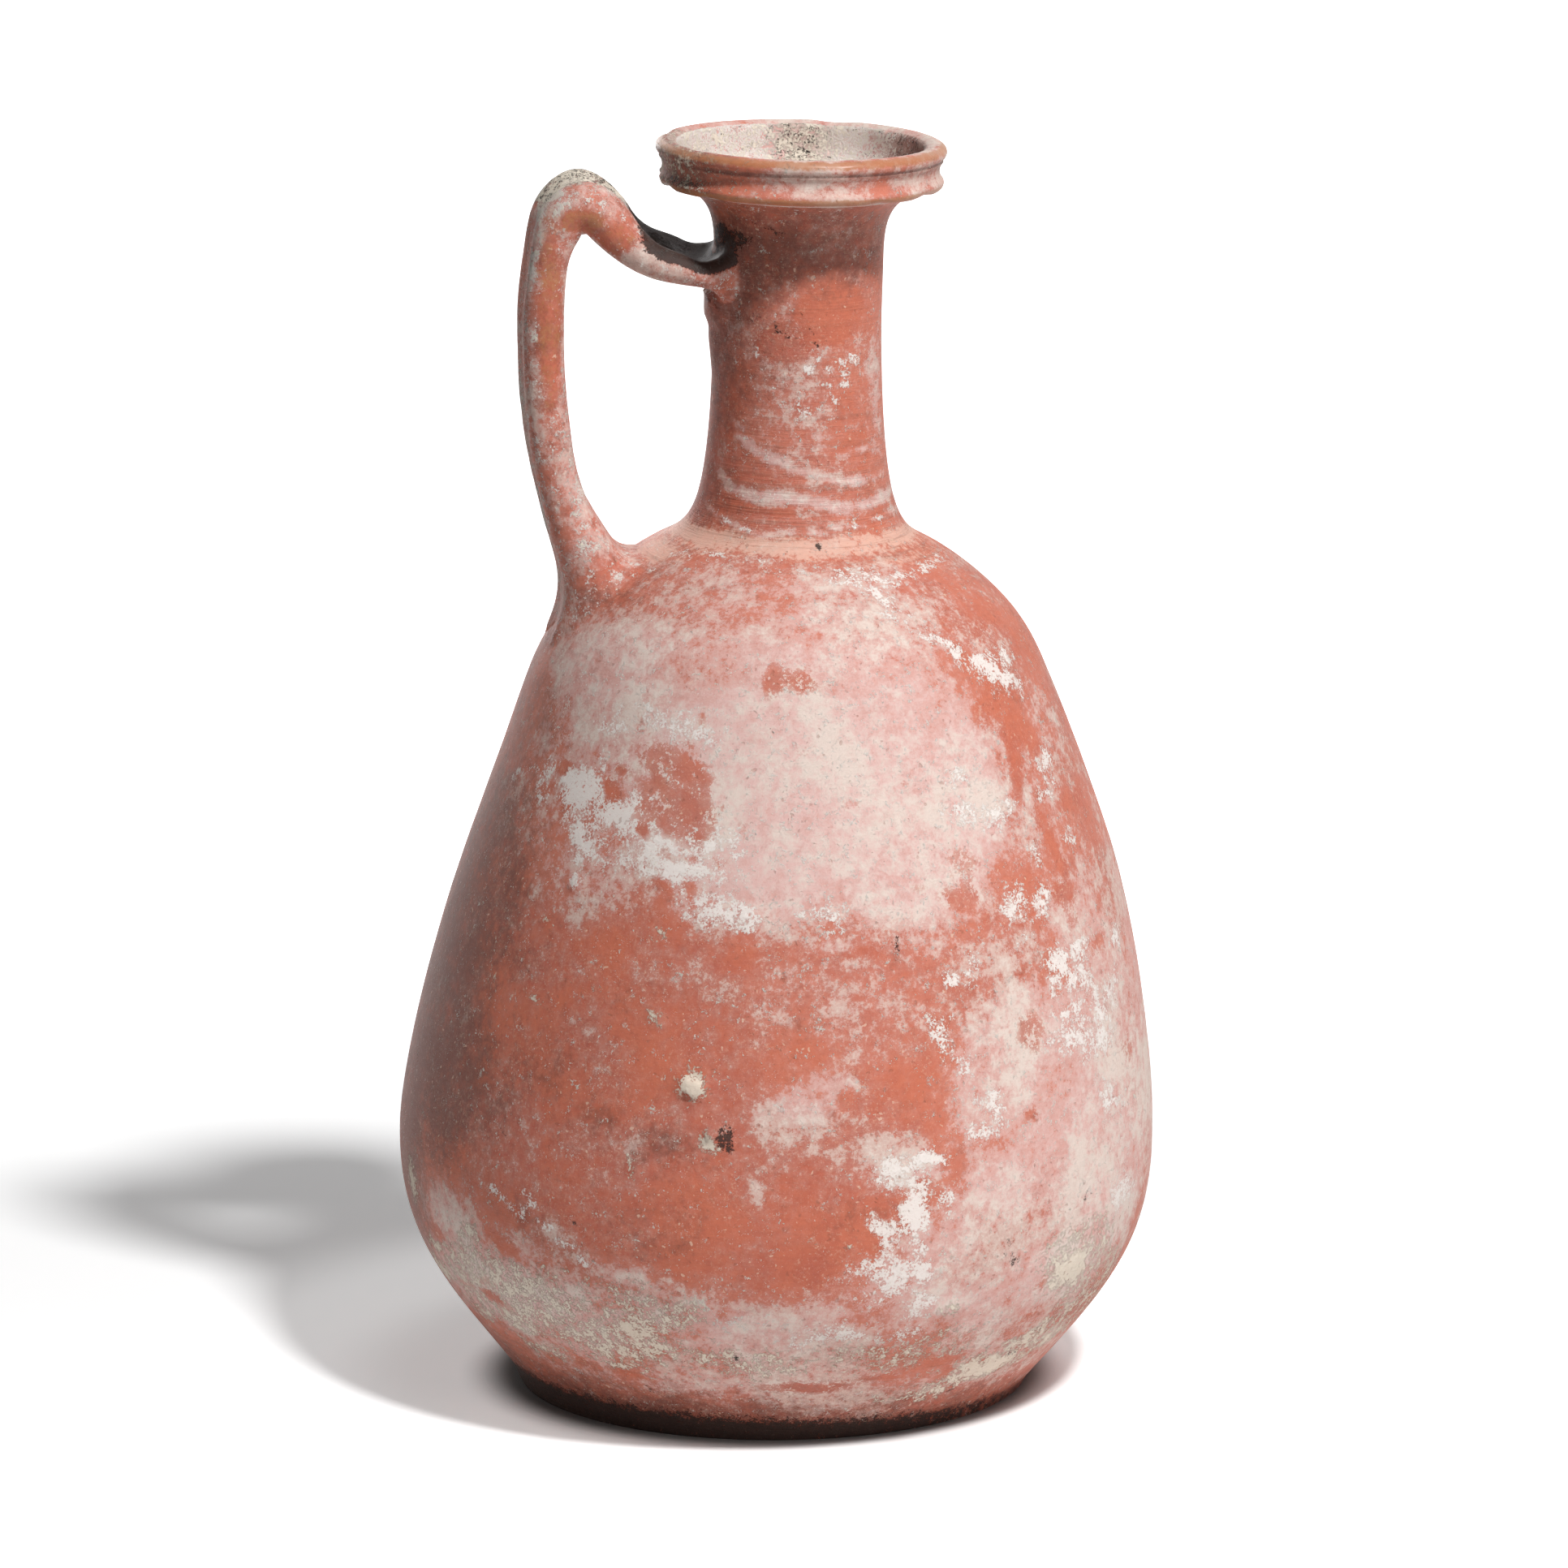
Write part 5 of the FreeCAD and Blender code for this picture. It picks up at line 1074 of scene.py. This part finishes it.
def fired_clay():
    for build in (ragged_edge_group, veil_group, flecks_group, dust_group, slip_group, wheel_group):
        build()
    shades = bpy.context.scene.jug_colours
    clay = bpy.data.materials.new("fired_clay")
    clay.use_nodes = True
    tree = clay.node_tree
    shader = tree.nodes["Principled BSDF"]
    corner = join_node(tree, "ShaderNodeTexCoord", {}).outputs["Object"]
    straighten = {"Vector": corner, "Scale": (1 / MM, 1 / MM, 1 / MM),
                  "Rotation": (0, -bpy.context.scene.jug_shape.lean, 0)}
    position = join_node(tree, "ShaderNodeMapping", straighten).outputs[0]
    layer = {}
    for attribute in ATTRIBUTES:
        layer.update(layers_of(tree, attribute))

    def ragged(name, grain, tearing, softness):
        return place_group(tree, "Ragged edge", Position=position, Cover=layer[name], Grain=grain,
                           Tearing=tearing, Softness=softness)["Mask"]

    bare = ragged("bare", 0.4, 2.2, 0.08)
    rubbed = arithmetic(tree, "MINIMUM", arithmetic(tree, "MULTIPLY", layer["bare"], 1.25), 1.0)
    bare = arithmetic(tree, "MULTIPLY", bare, rubbed)
    crust = ragged("crust", 0.55, 2.2, 0.1)
    cream = ragged("cream", 0.55, 2.0, 0.12)
    brown = ragged("brown", 0.14, 1.4, 0.5)
    dark = ragged("dark", 0.8, 1.5, 0.08)
    worn = ragged("worn", 0.3, 1.2, 0.25)
    painted_sheen = ragged("painted_sheen", 0.3, 1.7, 0.25)
    closed = arithmetic(tree, "SUBTRACT", 1.0, bare)
    film = place_group(tree, "Lime veil", Position=position, Cover=layer["veil"])
    clear = arithmetic(tree, "MULTIPLY", closed, arithmetic(tree, "MULTIPLY_ADD", brown, -0.65, 1.0))
    veil = arithmetic(tree, "MULTIPLY", film["Mask"], arithmetic(tree, "MULTIPLY_ADD", clear, 0.9, 0.1))
    crust = arithmetic(tree, "MULTIPLY", crust, closed)
    cream = arithmetic(tree, "MULTIPLY", cream, closed)
    wheel = place_group(tree, "Wheel lines", Position=position, Strength=layer["wheel"])
    flecks = place_group(tree, "Flecks", Position=position, Spacing=1.1, Size=0.26, Share=0.22)["Mask"]
    flecks = arithmetic(tree, "MAXIMUM", flecks, place_group(tree, "Dust", Position=position)["Mask"])
    grit = place_group(tree, "Flecks", Position=position, Spacing=0.95, Size=0.34, Share=0.14)["Mask"]

    colour = place_group(tree, "Red slip", Position=position)["Color"]
    # Stains, and painted shade under the rim, on the left and at the foot.
    colour = blend(tree, arithmetic(tree, "MULTIPLY", brown, 0.85), colour, shades.stained_and_shaded_brown)
    # Painted sheen on the band at the foot of the neck, where it faces up.
    colour = blend(tree, arithmetic(tree, "MULTIPLY", painted_sheen, 0.6), colour, shades.painted_sheen_colour)
    colour = blend(tree, arithmetic(tree, "MULTIPLY", wheel["Mask"], 0.5), colour, shades.line_shade)
    colour = blend(tree, arithmetic(tree, "MULTIPLY", flecks, 0.7), colour, shades.fleck_cream)
    colour = blend(tree, veil, colour, blend(tree, film["Tint"], shades.veil_pink, shades.veil_cream))
    colour = blend(tree, arithmetic(tree, "MULTIPLY", crust, 0.93), colour, shades.crust_white)
    colour = blend(tree, arithmetic(tree, "MULTIPLY", cream, 0.9), colour, shades.crust_cream)
    colour = blend(tree, arithmetic(tree, "MULTIPLY", worn, 0.75), colour, shades.worn_edge)
    colour = blend(tree, arithmetic(tree, "MULTIPLY", grit, 0.35), colour, shades.line_shade)
    # Dirt, soot and pits, and painted shade where the dark layer stands for it.
    colour = blend(tree, arithmetic(tree, "MULTIPLY", dark, 0.92), colour, shades.soot_and_shade)
    tree.links.new(colour, shader.inputs["Base Color"])

    caked = arithmetic(tree, "MAXIMUM", crust, cream)
    lime = arithmetic(tree, "MAXIMUM", caked, arithmetic(tree, "MULTIPLY", veil, 0.7))
    rough = arithmetic(tree, "MULTIPLY_ADD", lime, 0.34, 0.5)
    rough = arithmetic(tree, "MULTIPLY_ADD", worn, -0.14, rough)
    tree.links.new(rough, shader.inputs["Roughness"])
    shader.inputs["Specular IOR Level"].default_value = 0.16
    tree.links.new(arithmetic(tree, "MULTIPLY", worn, 0.3), shader.inputs["Coat Weight"])
    shader.inputs["Coat Roughness"].default_value = 0.32

    height = arithmetic(tree, "MULTIPLY", speckle(tree, position, 0.9, 6.0, 0.72), 0.16)
    for mask, thickness in ((cream, 0.06), (wheel["Height"], 0.4), (dark, -0.16), (grit, -0.05)):
        height = arithmetic(tree, "MULTIPLY_ADD", mask, thickness, height)
    crumble = arithmetic(tree, "MULTIPLY", caked, speckle(tree, position, 2.2, 4.0, 0.7))
    height = arithmetic(tree, "MULTIPLY_ADD", crumble, 0.08, height)
    bump = join_node(tree, "ShaderNodeBump", {"Strength": 1.0, "Distance": MM, "Height": height})
    tree.links.new(bump.outputs["Normal"], shader.inputs["Normal"])
    return clay


class JUG_OT_clay(bpy.types.Operator):
    """Throw the jug's form, pull its strap handle and join them"""
    bl_idname = "jug.clay"
    bl_label = "Throw the jug"

    def execute(self, context):
        form = throw_form()
        strap = pull_strap()
        even_strap(strap)
        join_clay(form, strap)
        refine_spots(form)
        cover = paint_clay(form)
        shape_clay(form, cover)
        form.data.materials.append(fired_clay())
        make_active(form)
        bpy.ops.object.shade_smooth()
        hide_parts("jug")
        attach(form, "root")
        return {"FINISHED"}


def set_lamp(name, place, power, size):
    deselect_all()
    bpy.ops.object.light_add(type="AREA", location=place)
    lamp = bpy.context.active_object
    lamp.name = name
    lamp.data.energy = power
    lamp.data.shape = "DISK"
    lamp.data.size = size
    lamp.rotation_euler = (Vector(LAMP_AIM) - Vector(place)).to_track_quat("-Z", "Y").to_euler()


def seen_directly(tree):
    # 1 where the camera looks straight at the surface, or sees it in gloss or through glass.
    path = tree.nodes.new("ShaderNodeLightPath").outputs
    straight = arithmetic(tree, "MAXIMUM", path["Is Camera Ray"], path["Is Glossy Ray"])
    return arithmetic(tree, "MAXIMUM", straight, path["Is Transmission Ray"])


def lay_floor():
    deselect_all()
    bpy.ops.mesh.primitive_plane_add(size=8.0, location=(0, 0, 0))
    floor = bpy.context.active_object
    floor.name = "floor"
    paper = bpy.data.materials.new("white_paper")
    paper.use_nodes = True
    tree = paper.node_tree
    shader = tree.nodes["Principled BSDF"]
    shader.inputs["Roughness"].default_value = 0.9
    shader.inputs["Specular IOR Level"].default_value = 0.0
    shader.inputs["Emission Color"].default_value = (1.0, 1.0, 1.0, 1.0)
    # Near the jug the paper keeps its shadow, and further off it is white whatever the lamps reach. The jug
    # gets light back from the near part only, as from a small table.
    direct = seen_directly(tree)
    place = join_node(tree, "ShaderNodeTexCoord", {}).outputs["Object"]
    distance = join_node(tree, "ShaderNodeVectorMath", {0: place}, operation="LENGTH").outputs["Value"]
    # Its steps paint the shadow's tone near the foot.
    glow = 0.0
    for start, end, rise in FLOOR_GLOW:
        glow = arithmetic(tree, "ADD", smooth_step(tree, distance, start, end, 0.0, rise), glow)
    tree.links.new(arithmetic(tree, "MULTIPLY", glow, direct), shader.inputs["Emission Strength"])
    bounce = smooth_step(tree, distance, *TABLE_BOUNCE)
    # A painted shadow on the paper right under the foot's edge.
    painted_foot_shade = smooth_step(tree, distance, *PAINTED_FOOT_SHADOW)
    white = join_node(tree, "ShaderNodeMix", {0: direct, 2: bounce, 3: painted_foot_shade}).outputs[0]
    tree.links.new(white, shader.inputs["Base Color"])
    floor.data.materials.append(paper)


def light_room(stage):
    world = bpy.data.worlds.new("studio")
    bpy.context.scene.world = world
    world.use_nodes = True
    tree = world.node_tree
    sky = tree.nodes["Background"]
    sky.inputs["Color"].default_value = (1.0, 1.0, 1.0, 1.0)
    even = stage.sky_strength
    strength = arithmetic(tree, "MULTIPLY_ADD", seen_directly(tree), 1.0 - even, even)
    tree.links.new(strength, sky.inputs["Strength"])
    for name, place, setting, size in LAMPS:
        set_lamp(name, place, getattr(stage, setting), size)


def set_camera(stage):
    deselect_all()
    back = stage.camera_distance * math.cos(stage.camera_rise)
    rise = stage.camera_distance * math.sin(stage.camera_rise)
    bpy.ops.object.camera_add(location=(stage.aim_side, -back, stage.aim_height + rise),
                              rotation=(math.pi / 2 - stage.camera_rise, 0, 0))
    camera = bpy.context.active_object
    camera.data.sensor_width = 36.0
    camera.data.lens = stage.lens
    bpy.context.scene.camera = camera


class JUG_OT_stage(bpy.types.Operator):
    """Set up the white table, the lamps and the camera"""
    bl_idname = "jug.stage"
    bl_label = "Set the stage"

    def execute(self, context):
        stage = context.scene.jug_stage
        lay_floor()
        light_room(stage)
        set_camera(stage)
        context.scene.view_settings.view_transform = "Standard"
        return {"FINISHED"}


class JUG_PT_sidebar(bpy.types.Panel):
    """Sizes and colours of the jug, and the steps that make it"""
    bl_label = "Pottery jug"
    bl_idname = "JUG_PT_sidebar"
    bl_space_type = "VIEW_3D"
    bl_region_type = "UI"
    bl_category = "Jug"

    def draw(self, context):
        for group in (getattr(context.scene, name) for name in GROUPS):
            for name in group.__annotations__:
                self.layout.prop(group, name)
        for operator in OPERATORS:
            self.layout.operator(operator.bl_idname)


GROUPS = {"jug_shape": JugShape, "jug_colours": JugColours, "jug_stage": JugStage}
OPERATORS = (JUG_OT_clay, JUG_OT_stage)


def register():
    for kind in (*GROUPS.values(), *OPERATORS, JUG_PT_sidebar):
        bpy.utils.register_class(kind)
    for name, group in GROUPS.items():
        setattr(bpy.types.Scene, name, bpy.props.PointerProperty(type=group))


def unregister():
    for name in GROUPS:
        delattr(bpy.types.Scene, name)
    for kind in (JUG_PT_sidebar, *reversed(OPERATORS), *GROUPS.values()):
        bpy.utils.unregister_class(kind)


def main():
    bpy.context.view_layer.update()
    register()
    for operator in OPERATORS:
        getattr(bpy.ops.jug, operator.bl_idname.split(".")[1])()


if __name__ == "__main__":
    main()
